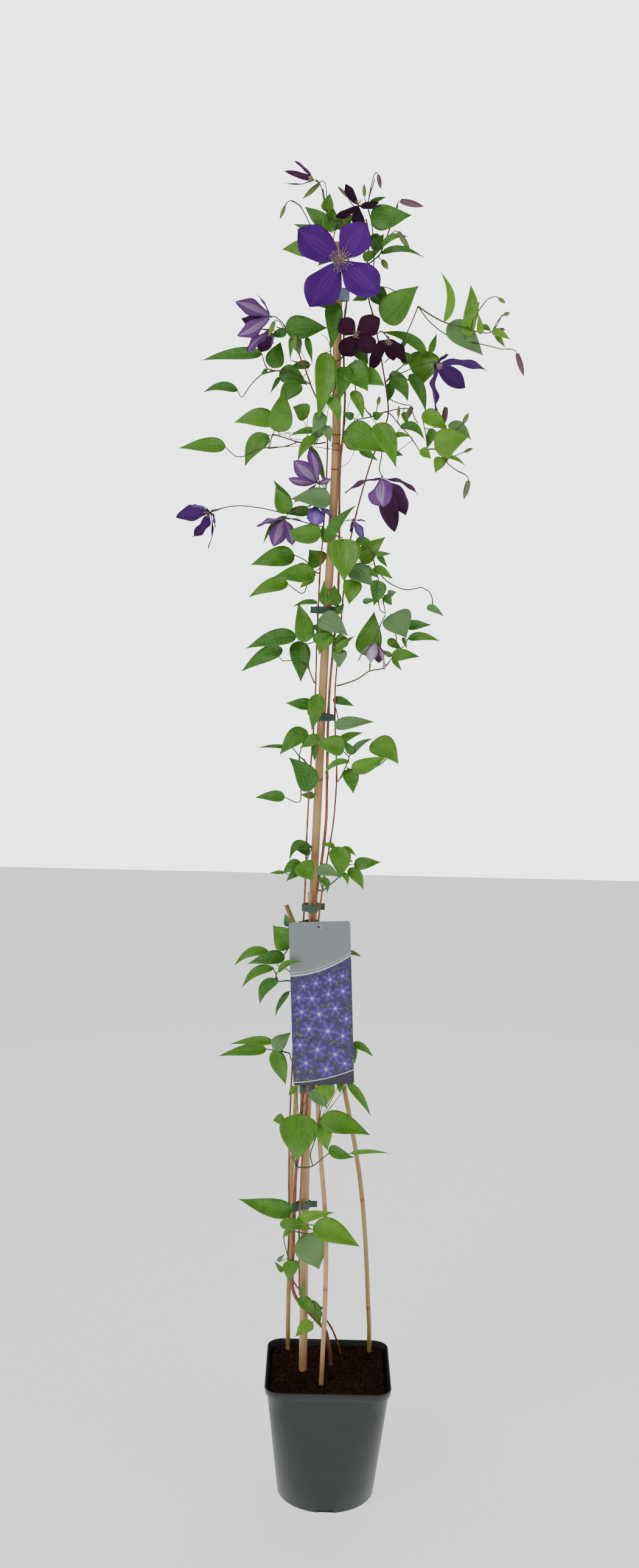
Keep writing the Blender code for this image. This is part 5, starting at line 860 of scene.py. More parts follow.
def facing(along, view, roll):
    """A blade's face direction: towards view, square to its length, turned by roll degrees."""
    face = (view - along * view.dot(along)).normalized()
    face.rotate(Quaternion(along, math.radians(roll)))
    return face


def arch_side(along, face):
    """The direction across the blade that points up, or to the right on an upright blade."""
    side = along.cross(face)
    return side if side.dot(Vector((0.3, 0.0, 1.0))) > 0 else -side


# A leaf's grid, its half width at the foot in mm and the slope of its fold at the midrib.
LEAF_ROWS, LEAF_COLUMNS = 16, 9
LEAF_NECK = 0.75
LEAF_FOLD = 0.22
LEAF_THICK = 0.4


def leaf_rows(foot, tip, row, chance):
    """The grid of a leaf: arched, folded at its midrib, its margin waved and its tip turned."""
    along = (tip - foot).normalized()
    face = facing(along, EYE - foot, row.roll)
    side = along.cross(face)
    up = arch_side(along, face)
    length = (tip - foot).length
    half = row.width / 2 * MM
    wave = chance.uniform(0, 6.28)
    ruffle = chance.uniform(0.02, 0.05)
    curl = chance.uniform(-0.04, 0.12)
    twist = chance.uniform(-0.45, 0.45)
    rows = []
    for i in range(LEAF_ROWS):
        s = (i / (LEAF_ROWS - 1)) ** 1.25
        rim, wide = leaf_rim(s)
        turn = math.sin(twist * s)
        bulge = math.sin(math.pi * s)
        cells = []
        for j in range(LEAF_COLUMNS):
            v = 2 * j / (LEAF_COLUMNS - 1) - 1
            u = s + (rim - s) * abs(v)
            reach = (LEAF_NECK * MM * (1 - s) + half * wide) * v
            rise = row.cup * length * bulge + LEAF_FOLD * abs(reach) + turn * reach
            rise += ruffle * half * abs(v) ** 2 * math.sin(9 * s + wave + (1.2 if v > 0 else 0)) * 2
            rise -= curl * length * max(0.0, s - 0.7) ** 2 * 4
            rise += 0.02 * half * math.cos(v * 14) * bulge
            cells.append(foot + along * (length * u) + side * reach
                         + up * (row.lift * MM * bulge) + face * rise)
        rows.append(cells)
    return rows


def settled_depth(row, tree):
    """The depth shift at which the CAD node holds this leaf; none for the smallest leaves."""
    if math.dist(row.foot, row.tip) < LEAST_LEAF:
        return 0
    best = None
    for shift in DEPTH_TRIES:
        foot = seen(*row.foot, row.depth[0] + shift)
        tip = seen(*row.tip, row.depth[1] + shift)
        along = (tip - foot).normalized()
        face = facing(along, EYE - foot, row.roll)
        middle = (foot.lerp(tip, 0.5) + arch_side(along, face) * (row.lift * MM)
                  + face * (row.cup * (tip - foot).length))
        far = tree.find_nearest(middle)[3]
        if best is None or far < best[0] - 1e-5:
            best = (far, shift)
    return best[1]


def nearest(point, routes):
    """The place on the routes that is closest to the point."""
    best = None
    for route in routes:
        for start, end in zip(route, route[1:]):
            run = end - start
            t = min(max((point - start).dot(run) / run.length_squared, 0.0), 1.0)
            place = start + run * t
            if best is None or (place - point).length < (best - point).length:
                best = place
    return best


# Shapes that follow a path, a ring or a surface, as Geometry Nodes.
class Shaper(Nodes):
    """A Geometry Nodes tree with named inputs for its sizes and materials."""

    def __init__(self, name, **sizes):
        self.tree = bpy.data.node_groups.new(name, "GeometryNodeTree")
        self.sizes = sizes
        self.keys = {}
        sockets = self.tree.interface
        sockets.new_socket("Geometry", in_out="INPUT", socket_type="NodeSocketGeometry")
        sockets.new_socket("Geometry", in_out="OUTPUT", socket_type="NodeSocketGeometry")
        for label, value in sizes.items():
            kind = "Material" if value is None else "Int" if isinstance(value, int) else "Float"
            socket = sockets.new_socket(label, in_out="INPUT", socket_type="NodeSocket" + kind)
            self.keys[label] = socket.identifier
            if value is not None:
                socket.default_value = value
        self.given = self.tree.nodes.new("NodeGroupInput").outputs

    def close(self, shape, material, second=None, selection=None):
        """Realize what was made, give it its material, or two, and pass it out."""
        real = self.add("GeometryNodeRealizeInstances", {0: shape}).outputs[0]
        skin = self.add("GeometryNodeSetMaterial", {"Geometry": real, "Material": self.given[material]})
        if second:
            skin = self.add("GeometryNodeSetMaterial", {"Geometry": skin.outputs[0],
                                                        "Selection": selection,
                                                        "Material": self.given[second]})
        self.add("NodeGroupOutput", {0: skin.outputs[0]})
        return self

    def hump(self, far, width):
        """One where far is nothing, falling away to nothing beyond the width."""
        return self.math("EXPONENT", self.times(self.power(self.over(far, width), 2.0), -1.0))

    def random(self, least, most, seed):
        """A random number for each point."""
        return self.add("FunctionNodeRandomValue", {2: least, 3: most, "Seed": seed}).outputs[1]

    def random_vector(self, least, most, seed):
        return self.add("FunctionNodeRandomValue", {0: least, 1: most, "Seed": seed},
                        data_type="FLOAT_VECTOR").outputs[0]

    def kept(self, shape, name, value):
        """The shape with a number stored on it under that name."""
        return self.add("GeometryNodeStoreNamedAttribute",
                        {"Geometry": shape, "Name": name, "Value": value}).outputs[0]

    def tube(self, curve, size, sides):
        """A capped tube round a curve, its radius given by size."""
        circle = self.add("GeometryNodeCurvePrimitiveCircle", {"Resolution": sides, "Radius": 1.0})
        return self.add("GeometryNodeCurveToMesh", {"Curve": curve, "Scale": size, "Fill Caps": True,
                                                    "Profile Curve": circle.outputs[0]}).outputs[0]

    def strewn(self, points, shape, turn, scale):
        """The shape set on every point, turned and scaled."""
        turned = self.add("FunctionNodeEulerToRotation", {0: turn}).outputs[0]
        return self.add("GeometryNodeInstanceOnPoints", {
            "Points": points, "Instance": shape, "Rotation": turned, "Scale": scale}).outputs[0]

    def mesh(self, item, **values):
        """The plain mesh this tree makes of an object; the object goes."""
        run = item.modifiers.new("shape", "NODES")
        run.node_group = self.tree
        for label, value in {**self.sizes, **values}.items():
            run[self.keys[label]] = value
        mesh = made_mesh(item)
        bpy.data.objects.remove(item)
        return mesh


def shaft_tree():
    """A round shaft along a curve: the curve's own radii, with a swelling at every joint."""
    n = Shaper("shaft", Sides=12, Step=0.003, Spacing=280.0, First=0.0, Length=2.6, Swelling=0.06,
               Unevenness=0.0, Skin=None)
    path = n.add("GeometryNodeResampleCurve", {"Curve": n.given["Geometry"], "Length": n.given["Step"]},
                 mode="LENGTH")
    place = n.add("GeometryNodeInputPosition").outputs[0]
    level = n.minus(n.over(n.split(place)[2], MM), n.given["First"])
    gap = n.math("PINGPONG", level, n.times(n.given["Spacing"], 0.5))
    ring = n.hump(gap, n.given["Length"])
    lump = n.add("ShaderNodeTexNoise", {"Vector": place, "Scale": 60.0}).outputs["Fac"]
    rough = n.times(n.minus(lump, 0.5), n.given["Unevenness"])
    grow = n.plus(n.plus(1.0, rough), n.times(ring, n.given["Swelling"]))
    size = n.times(n.add("GeometryNodeInputRadius").outputs[0], grow)
    tube = n.tube(n.kept(path.outputs[0], "ring", ring), size, n.given["Sides"])
    smooth = n.add("GeometryNodeSetShadeSmooth", {"Geometry": tube, "Shade Smooth": True})
    return n.close(smooth.outputs[0], "Skin")


GOLDEN_ANGLE = 2.39996


def stamen_tree():
    """Filaments that lean out from a heart, evenly turned, each with a swollen tip."""
    n = Shaper("stamens", Count=30, Reach=0.01, Least_lean=0.25, Lean=0.8, Thickness=0.00028, Seed=1,
               Filament=None, Tip=None)
    index = n.add("GeometryNodeInputIndex").outputs[0]
    share = n.over(n.plus(index, 0.5), n.given["Count"])
    turn = n.times(index, GOLDEN_ANGLE)
    stray = n.random(-0.14, 0.14, n.given["Seed"])
    lean = n.plus(n.plus(n.given["Least_lean"], stray), n.times(share, n.given["Lean"]))
    aim = n.add("ShaderNodeCombineXYZ", {1: lean, 2: turn}).outputs[0]
    length = n.random(0.85, 1.1, n.given["Seed"])
    bow = n.add("GeometryNodeCurveQuadraticBezier", {"Resolution": 7, "Start": (0, 0, 0),
                                                     "Middle": (-0.1, 0, 0.55), "End": (0.06, 0, 1)})
    along = n.add("GeometryNodeSplineParameter").outputs[0]
    swell = n.hump(n.minus(along, 0.88), 0.1)
    thick = n.over(n.given["Thickness"], n.given["Reach"])
    size = n.times(thick, n.plus(0.8, swell))
    filament = n.tube(n.kept(bow.outputs[0], "along", along), size, 5)
    spots = n.add("GeometryNodePoints", {"Count": n.given["Count"]})
    stood = n.strewn(spots.outputs[0], filament, aim, n.times(length, n.given["Reach"]))
    stored = n.add("GeometryNodeInputNamedAttribute", {"Name": "along"}).outputs[0]
    return n.close(stood, "Filament", "Tip", n.beyond(stored, 0.7))


def crumb_tree():
    """Crumbs of bark and peat strewn over the faces that look up."""
    n = Shaper("crumbs", Density=16000.0, Least=0.0009, Largest=0.0040, Seed=5, Skin=None)
    up = n.split(n.add("GeometryNodeInputNormal").outputs[0])[2]
    points = n.add("GeometryNodeDistributePointsOnFaces", {
        "Mesh": n.given["Geometry"], "Selection": n.beyond(up, 0.4),
        "Density": n.given["Density"], "Seed": n.given["Seed"]})
    lump = n.add("GeometryNodeMeshIcoSphere", {"Radius": 1.0, "Subdivisions": 1})
    turn = n.random_vector((0, 0, 0), (6.28, 6.28, 6.28), n.given["Seed"])
    shape = n.random_vector((0.35, 0.5, 0.3), (1.0, 1.0, 0.7), 2)
    size = n.random(n.given["Least"], n.given["Largest"], 3)
    stood = n.strewn(points.outputs[0], lump.outputs[0], turn, n.scaled(shape, size))
    both = n.add("GeometryNodeJoinGeometry", {0: n.given["Geometry"]})
    n.give(both.inputs[0], stood)
    return n.close(both.outputs[0], "Skin")


def tapered(path, first, last=None):
    """A path with its radii beside it, from first to last in millimetres."""
    last = first if last is None else last
    return path, [(first + (last - first) * k / (len(path) - 1)) * MM for k in range(len(path))]


def path_curve(paths):
    """A curve object with a spline of straight runs for each path, with its own radii."""
    item = start_piece("path", "CURVE")
    item.data.dimensions = "3D"
    for path, radii in paths:
        spline = item.data.splines.new("POLY")
        spline.points.add(len(path) - 1)
        for knot, place, size in zip(spline.points, path, radii):
            knot.co = (*place, 1)
            knot.radius = size
    return item


# The steps of the paths of stems and of leaf stalks in metres, the least gap in mm that a leaf's stalk
# bridges, and a bud's rings.
STEP, STALK_STEP = 0.006, 0.004
LEAST_GAP = 0.7
BUD_RINGS = 12

# Leaves that show their paler underside: some by the places of their feet, the others by chance.
PALE_LEAVES = {(-36, 1614), (-26, 1508), (-30, 1321)}
TURNED_SHARE = 0.12

# How yellow the leaves of the younger shoots are.
YOUNG = {"spray_far_right": 0.62, "spray_right_outer": 0.55, "spray_crown": 0.35, "spray_400": 0.5,
         "spray_300": 0.55, "spray_580": 0.5, "spray_left_far": 0.2}


def dress_spray(name, row, material, stem):
    """A spray: smooth stems, every leaf with its stalk, and the buds."""
    tree = node_tree(name)
    chance = random.Random(name)
    sheet = Sheet()
    routes = [[seen(*p) for p in route] for route in row["stems"]]
    start = routes[0][0].copy()
    for route in routes:
        if (route[0] - start).length < 0.1 * MM:
            route[0] = tree.find_nearest(start)[0]
    paths = []
    for i, route in enumerate(routes):
        paths.append(tapered(smooth_route(route, STEP), 1.0 if i else 1.25, 0.85))
    for cells in row["leaves"]:
        leaf = read_leaf(*cells)
        shift = settled_depth(leaf, tree)
        foot = seen(*leaf.foot, leaf.depth[0] + shift)
        tip = seen(*leaf.tip, leaf.depth[1] + shift)
        start = nearest(foot, routes)
        gap = (foot - start).length
        if gap > LEAST_GAP * MM:
            # The stalk sags a little and runs on into the blade.
            into = (tip - foot).normalized() * min(gap * 0.3, 4 * MM)
            middle = (start + foot) / 2 + Vector((0, 0, -0.06 * gap)) - into * 0.3
            paths.append(tapered(smooth_route([start, middle, foot + into * 0.2], STALK_STEP), 0.6))
        turned = leaf.foot in PALE_LEAVES or chance.random() < TURNED_SHARE
        tone = 0.45 * chance.random() + YOUNG.get(name, 0.3)
        sheet.blade(leaf_rows(foot, tip, leaf, chance), tone, LEAF_THICK * MM, float(turned))
    for stalk, tip, width in row["buds"]:
        points = [seen(*p) for p in stalk]
        points[0] = nearest(points[0], routes)
        paths.append(tapered(smooth_route(points, STEP), 0.8))
        half = width / 2 * MM
        shares = [k / BUD_RINGS for k in range(BUD_RINGS + 1)]
        swell = [half * (0.35 + 0.65 * math.sin(math.pi * min(1, s * 0.9 + 0.1)) ** 0.7)
                 * (1 - s ** 5 * 0.8) for s in shares]
        body = [points[-1].lerp(seen(*tip), s) for s in shares]
        sheet.rod(body, swell, 14, chance.random(), 2)
    shoots = shafts.mesh(path_curve(paths), Sides=8, Step=0.004, Spacing=47.0, Length=3.0,
                         Swelling=0.35, Unevenness=0.3, Skin=stem)
    sheet.take(shoots, Matrix(), {stem.name: 1})
    item = sheet.made(name + "_fine")
    return settle(item, name, "leaf_green", material, stem, bud_finish)


# A sepal's grid, its half width at the foot, its ribs' height and its thickness in mm.
SEPAL_ROWS, SEPAL_COLUMNS = 17, 13
SEPAL_NECK = 1.1
RIB_HEIGHT = 0.35
SEPAL_THICK = 0.5


def sepal_rows(heart, axis, row, chance):
    """A sepal's grid: narrow foot, broad past the middle, pointed, its rim ruffled, ribs raised."""
    *place, width, cup = row
    tip = seen(*place)
    along = (tip - heart).normalized()
    face = facing(along, -axis, 0)
    side = along.cross(face)
    start = heart + along * (1.2 * MM)
    length = (tip - start).length
    half = width / 2 * MM
    wave = chance.uniform(0, 6.28)
    hook = 0.6 + 0.6 * math.sin(wave)
    rows = []
    for i in range(SEPAL_ROWS):
        s = i / (SEPAL_ROWS - 1)
        wide = sepal_width(s)
        bulge = math.sin(math.pi * s)
        spread = 1 - s ** 2.6
        cells = []
        for j in range(SEPAL_COLUMNS):
            v = 2 * j / (SEPAL_COLUMNS - 1) - 1
            reach = (SEPAL_NECK * MM * (1 - s) + half * wide) * v
            reach *= 1 + 0.05 * math.sin(10 * s + 2 * wave + (1.3 if v > 0 else 0)) * v ** 4 * bulge
            rise = cup * length * bulge - 0.12 * abs(reach)
            ruffle = abs(v) ** 3 * half * 0.13
            rise += ruffle * math.sin(13 * s + wave + (2.1 if v > 0 else 0))
            for rib in SEPAL_RIBS:
                rise += RIB_HEIGHT * MM * math.exp(-((v - rib * spread) / 0.09) ** 2) * bulge
            rise -= 0.05 * length * max(0.0, s - 0.75) ** 2 * 8 * hook
            cells.append(start + along * (length * s) + side * reach + face * rise)
        rows.append(cells)
    return rows


# A bloom's stalk in mm: its radius, and how much wider it grows over its last tenth. Then a heart's
# filaments, on the main bloom and on the others: their number, their reach and how far they lean out.
STALK_RADIUS, STALK_FLARE = 0.95, 1.2
MAIN_HEART, SMALL_HEART = (52, 0.019, 1.15), (20, 0.010, 0.55)


def dress_bloom(name, row, material, stem):
    """A bloom: its stalk, its sepals and a heart of filaments with their tips."""
    tree = node_tree(name)
    chance = random.Random(name)
    sheet = Sheet()
    heart = seen(*row["heart"])
    axis = Vector(row["axis"]).normalized()
    points = [seen(*p) for p in row["stalk"]] + [heart - axis * MM]
    points[0] = tree.find_nearest(points[0])[0]
    path = smooth_route(points, STEP)
    last = len(path) - 1
    radii = [(STALK_RADIUS + STALK_FLARE * max(0.0, k / last - 0.9) * 10) * MM for k in range(last + 1)]
    stalk = shafts.mesh(path_curve([(path, radii)]), Sides=10, Spacing=200.0, Length=1.5,
                        Swelling=0.3, Unevenness=0.25, Skin=stem)
    sheet.take(stalk, Matrix(), {stem.name: 1})
    for sepal in row["sepals"]:
        sheet.blade(sepal_rows(heart, axis, sepal, chance), chance.random(), SEPAL_THICK * MM)
    count, reach, lean = MAIN_HEART if name == "bloom_main" else SMALL_HEART
    ring = stamens.mesh(start_piece("heart"), Count=count, Reach=reach, Least_lean=0.15, Lean=lean,
                        Seed=len(name), Filament=filament, Tip=anther)
    aim = Matrix.Translation(heart) @ Vector((0, 0, 1)).rotation_difference(axis).to_matrix().to_4x4()
    sheet.take(ring, aim, {filament.name: 2, anther.name: 3})
    item = sheet.made(name + "_fine")
    return settle(item, name, row["tone"], material, stem, filament, anther)


def vine_piece(name, table, radii, material):
    """A woody vine with swollen joints where its shoots leave."""
    route = smooth_route([seen(*p) for p in table], 0.12)
    if name == "vine_right":  # It grows from the left vine, a hair off it, where its CAD node starts.
        route[0] = node_tree("vine_right").find_nearest(route[0])[0]
    item = start_piece(name + "_fine")
    item.data = shafts.mesh(path_curve([tapered(smooth_route(route, STEP), *radii)]), Spacing=96.0,
                            First=48.0, Length=5.0, Swelling=0.22, Unevenness=0.25, Skin=material)
    return settle(item, name, "vine_bark")


# Tendrils and thin shoots: the node that carries each, and its route.
TENDRILS = [
    ("vine_main", [(-24, 1580, -4), (-58, 1584, -8), (-92, 1583, -8), (-120, 1580, -9), (-119, 1592, -10),
                   (-114, 1587, -11), (-117, 1581, -12)]),
    ("spray_left_mid", [(-48, 1603, -8), (-76, 1604, -10), (-111, 1598, -12)]),
    ("spray_left_mid", [(-56, 1596, -10), (-72, 1593, -12), (-90, 1596, -14), (-95, 1600, -13),
                        (-89, 1604, -12), (-87, 1597, -11), (-80, 1590, -10), (-62, 1588, -9)]),
    ("spray_left_mid", [(-66, 1600, -8), (-64, 1612, -6), (-68, 1620, -4), (-65, 1628, -3)]),
    ("spray_left_upper", [(-54, 1664, 6), (-66, 1700, 8), (-82, 1734, 10)]),
    ("spray_left_upper", [(-50, 1672, 4), (-58, 1700, 5), (-66, 1722, 6), (-68, 1738, 6)]),
    ("vine_main", [(-13, 1592, -2), (-9, 1612, -8), (-4, 1640, -10), (2, 1664, -12)]),
    ("vine_main", [(-13, 1556, -4), (-2, 1562, -9), (6, 1578, -12), (9, 1598, -13), (8, 1614, -13),
                   (3, 1628, -12), (-6, 1634, -11)]),
    ("spray_right_inner", [(2, 1624, -10), (14, 1633, -13), (24, 1635, -14), (30, 1630, -12)]),
    ("vine_main", [(-12, 1604, -6), (-7, 1608, -9), (-6, 1603, -11), (-11, 1601, -9)]),
    ("spray_right_inner", [(4, 1726, -10), (12, 1712, -8), (15, 1696, -7)]),
    ("spray_front_upper", [(-33, 1722, -14), (-36, 1736, -12), (-46, 1744, -10)]),
]
# Turns round the main cane: their steps, the tendril's radius and its middle's gap to the bark in mm,
# then the height of each turn and how far it rises to one side.
TURN_STEPS, TURN_OVERLAP = 28, 3
TENDRIL_RADIUS, TENDRIL_GAP = 0.55, 0.7
CANE_TURNS = [(1603, 1.6), (1587, -2.2), (1553, 0.8)]


def tendril_piece(material):
    """Tendrils that leave their stems, and three that wind once round the main cane."""
    paths = []
    for carrier, table in TENDRILS:
        points = [seen(*p) for p in table]
        points[0] = node_tree(carrier).find_nearest(points[0])[0]
        paths.append(smooth_route(points, 0.003))
    cane = node_tree("cane_main")
    paths += [ring_round(cane, height, slope) for height, slope in CANE_TURNS]
    item = start_piece("tendrils")
    item.data = shafts.mesh(path_curve([tapered(path, TENDRIL_RADIUS) for path in paths]), Sides=7,
                            Step=0.0015, Spacing=31.0, Length=1.5, Swelling=0.25, Unevenness=0.3,
                            Skin=material)
    return settle(item, None, "vine_bark")


def ring_round(tree, height, slope):
    """A turn round the cane just off its surface, found from outside at every angle."""
    line = [seen(*row) for row in CANE_MAIN]
    below = max((p for p in line if p.z <= height * MM), key=lambda p: p.z)
    above = min((p for p in line if p.z > height * MM), key=lambda p: p.z)
    middle = below.lerp(above, (height * MM - below.z) / (above.z - below.z))
    points = []
    for k in range(TURN_STEPS + TURN_OVERLAP):
        angle = 2 * math.pi * k / TURN_STEPS
        out = Vector((math.cos(angle), math.sin(angle), 0))
        start = middle + Vector((0, 0, slope * math.sin(angle) * MM)) + out * 0.03
        hit = tree.ray_cast(start, -out)[0]
        if hit:
            points.append(hit + out * TENDRIL_GAP * MM)
    return points


def cane_piece(name, table, radius, spacing, first, slot, material):
    """A cane with raised rings at its joints, cut flat at its ends."""
    path = smooth_route([seen(*p) for p in table], 0.05)
    item = start_piece(name + "_fine")
    item.data = shafts.mesh(path_curve([tapered(path, radius)]), Sides=24, Spacing=spacing,
                            First=first, Skin=material)
    return settle(item, name, slot, angle=50)


# The pot in mm: its widths over the lip and at the base, how far the lip stands out, its corners'
# radius at the top and the least radius of any corner.
POT_TOP, POT_BASE, POT_HEIGHT, POT_WALL, POT_LIP = 190.0, 148.0, 197.0, 1.6, 12.0
LIP_REACH, TOP_CORNER, LEAST_CORNER = 3.0, 22.0, 4.0
RING_CORNER = 10

# The soil in mm: its level, the foot of its side, how far its rim dips, and its roughness; then its
# grid, where its rim begins and how far its side leans in, both as shares of its half width.
SOIL_LEVEL, SOIL_FOOT, SOIL_DIP = 184.0, 170.0, 2.0
SOIL_ROUGH = (-0.9, 1.3)
SOIL_CELLS = 84
SOIL_RIM, SOIL_LEAN = 0.98, 0.985


def pot_section(z, inset=0.0):
    """Half width and corner radius of the pot's outside at height z, moved in by inset."""
    t = z / POT_HEIGHT
    half = POT_BASE / 2 + (POT_TOP / 2 - LIP_REACH - POT_BASE / 2) * t
    corner = POT_BASE / 2 + (TOP_CORNER - POT_BASE / 2) * t
    return half - inset, max(corner - inset, LEAST_CORNER)


def ring_points(half, corner, z):
    """A square's outline with round corners, in metres."""
    inset = half - corner
    places = []
    for quarter in range(4):
        turn = math.radians(90 * quarter + 45)
        for k in range(RING_CORNER):
            angle = math.radians(90 * quarter + 90 * k / (RING_CORNER - 1))
            places.append(Vector((math.copysign(inset, math.cos(turn)) + corner * math.cos(angle),
                                  math.copysign(inset, math.sin(turn)) + corner * math.sin(angle),
                                  z)) * MM)
    return places


def pot_piece(material):
    """The pot with its rolled lip, slots under the lip and drains at the base."""
    lip = POT_HEIGHT - POT_LIP
    profile = [(0, 2.0), (0.5, 0.6), (2, 0)] + [(z, 0) for z in (40, 80, 120, 160)]
    profile += [(lip - 0.6, 0), (lip, -0.6), (lip + 0.2, -2.2), (lip + 0.8, -2.6), (lip + 6, -2.8),
                (POT_HEIGHT - 1.2, -3.0), (POT_HEIGHT - 0.3, -2.6), (POT_HEIGHT, -1.9),
                (POT_HEIGHT - 0.2, -1.0), (POT_HEIGHT - 1.0, -0.5), (lip + 4, 0.6), (lip, POT_WALL)]
    profile += [(z, POT_WALL) for z in (160, 120, 80, 40)] + [(2.4, POT_WALL)]
    shape = bmesh.new()
    rings = []
    for z, inset in profile:
        half, corner = pot_section(min(z, POT_HEIGHT), inset)
        rings.append([shape.verts.new(p) for p in ring_points(half, corner, z)])
    count = len(rings[0])
    for low, high in zip(rings, rings[1:]):
        for i in range(count):
            j = (i + 1) % count
            shape.faces.new([low[i], low[j], high[j], high[i]])
    shape.faces.new(rings[0][::-1])
    shape.faces.new(rings[-1])
    bmesh.ops.recalc_face_normals(shape, faces=shape.faces)
    item = start_piece("pot_fine")
    shape.to_mesh(item.data)
    shape.free()
    cut_blocks(item, lip)
    return settle(item, "pot", "pot_plastic", material, angle=40)


def cut_blocks(item, lip):
    """Cuts a drain into the middle of each side at the base, and a slot under the lip at two sides."""
    group = bpy.data.collections.new("pot_cutters")
    for i in range(4):
        angle = math.radians(90 * i)
        spot = Vector((POT_BASE / 2 * math.cos(angle), POT_BASE / 2 * math.sin(angle), 1.5)) * MM
        add_block(group, spot, (7.0, 24.0, 7.0), angle)
    for side in (-1, 1):
        add_block(group, Vector((side * POT_TOP / 2, 0, lip - 1.5)) * MM, (16, 3, 3), 0)
    bite = item.modifiers.new("cut", "BOOLEAN")
    bite.operation = "DIFFERENCE"
    bite.operand_type = "COLLECTION"
    bite.collection = group
    bite.solver = "EXACT"
    mesh = made_mesh(item)
    item.modifiers.clear()
    item.data = mesh
    for block in list(group.objects):
        bpy.data.objects.remove(block)
    bpy.data.collections.remove(group)


def add_block(group, centre, size, angle):
    """A block of that size in mm about a centre in metres, turned about the vertical."""
    shape = bmesh.new()
    bmesh.ops.create_cube(shape, size=1.0)
    mesh = bpy.data.meshes.new("block")
    shape.to_mesh(mesh)
    shape.free()
    turn = Matrix.Rotation(angle, 4, "Z")
    mesh.transform(Matrix.Translation(centre) @ turn @ Matrix.Diagonal((*[s * MM for s in size], 1)))
    group.objects.link(bpy.data.objects.new("block", mesh))


def soil_height(x, y):
    """The soil's height in mm: higher at the back, with low lumps."""
    lump = 1.6 * math.sin(x / 11 + 1) * math.cos(y / 13) + 1.1 * math.sin(x / 5.3 + y / 7.1)
    return SOIL_LEVEL + 0.055 * y + lump


def soil_piece(material):
    """The soil's lumpy top with crumbs strewn over it, and a side that goes down inside the pot."""
    chance = random.Random(3)
    half, corner = pot_section(SOIL_LEVEL - 12, POT_WALL + 0.7)
    sheet = Sheet()
    rows = []
    for i in range(SOIL_CELLS + 1):
        cells = []
        for j in range(SOIL_CELLS + 1):
            a, b = 2 * i / SOIL_CELLS - 1, 2 * j / SOIL_CELLS - 1
            x, y = a * half, b * half
            if math.hypot(max(abs(x) - half + corner, 0), max(abs(y) - half + corner, 0)) > corner:
                cx = math.copysign(half - corner, x)
                cy = math.copysign(half - corner, y)
                way = Vector((x - cx, y - cy)).normalized() * corner
                x, y = cx + way.x, cy + way.y
            dip = SOIL_DIP if max(abs(a), abs(b)) > SOIL_RIM else 0
            cells.append(Vector((x, y, soil_height(x, y) + chance.uniform(*SOIL_ROUGH) - dip)) * MM)
        rows.append(cells)
    sheet.grid(rows, 0.5)
    for edge in (rows[0], rows[-1], [row[0] for row in rows], [row[-1] for row in rows]):
        low = [Vector((p.x * SOIL_LEAN, p.y * SOIL_LEAN, SOIL_FOOT * MM)) for p in edge]
        sheet.grid([low, edge] if edge is rows[0] else [edge, low], 0.5)
    item = start_piece("soil_fine")
    item.data = crumbs.mesh(sheet.made("soil_base"), Skin=material)
    return settle(item, "soil", "potting_soil")


STRAP_EDGE = 0.25
FLAT_WITHIN = 3


def tie_piece(name, material):
    """The strap: its CAD body with its flat faces joined and its edges rounded."""
    node = frame["nodes"][name]
    item = start_piece(name + "_fine")
    item.data = node.data.copy()
    item.data.materials.clear()
    shape = bmesh.new()
    shape.from_mesh(item.data)
    bmesh.ops.remove_doubles(shape, verts=shape.verts, dist=1e-6)
    bmesh.ops.dissolve_limit(shape, angle_limit=math.radians(FLAT_WITHIN), verts=shape.verts,
                             edges=shape.edges)
    shape.to_mesh(item.data)
    shape.free()
    round_off = item.modifiers.new("edges", "BEVEL")
    round_off.width = STRAP_EDGE * MM
    round_off.segments = 2
    return settle(item, name, "tie_plastic", material, angle=45)


# The label in mm: its card, the hole's drop below the top edge, half its thickness and the rounding of
# its edge; its turn is in degrees. Each printed star is its middle's x and z, its reach and its turn.
LABEL_SIZE = (91.0, 247.0)
LABEL_CORNER = 4.0
HOLE_RADIUS, HOLE_DROP = 3.0, 8.0
CARD_HALF, CARD_EDGE = 0.40, 0.05
LABEL_TURN = 2.8
LABEL_CENTRE = seen(-22.3, 763, -19)
STARS = [
    (-26, 27, 9, 0.2), (-8, 31, 10, 0.9), (13, 36, 11, 0.4), (32, 41, 9, 0.7), (-34, 10, 10, 0.5),
    (-14, 8, 13, 0.1), (10, 14, 11, 0.8), (32, 18, 12, 0.3), (-30, -12, 12, 0.7), (-4, -16, 14, 0.35),
    (20, -8, 12, 0.0), (36, -24, 10, 0.6), (-20, -38, 13, 1.0), (8, -42, 15, 0.15), (30, -50, 12, 0.55),
    (-34, -62, 11, 0.05), (-8, -70, 14, 0.8), (18, -78, 12, 0.3), (-26, -90, 12, 0.5),
    (4, -100, 13, 0.9), (32, -92, 11, 0.2)]


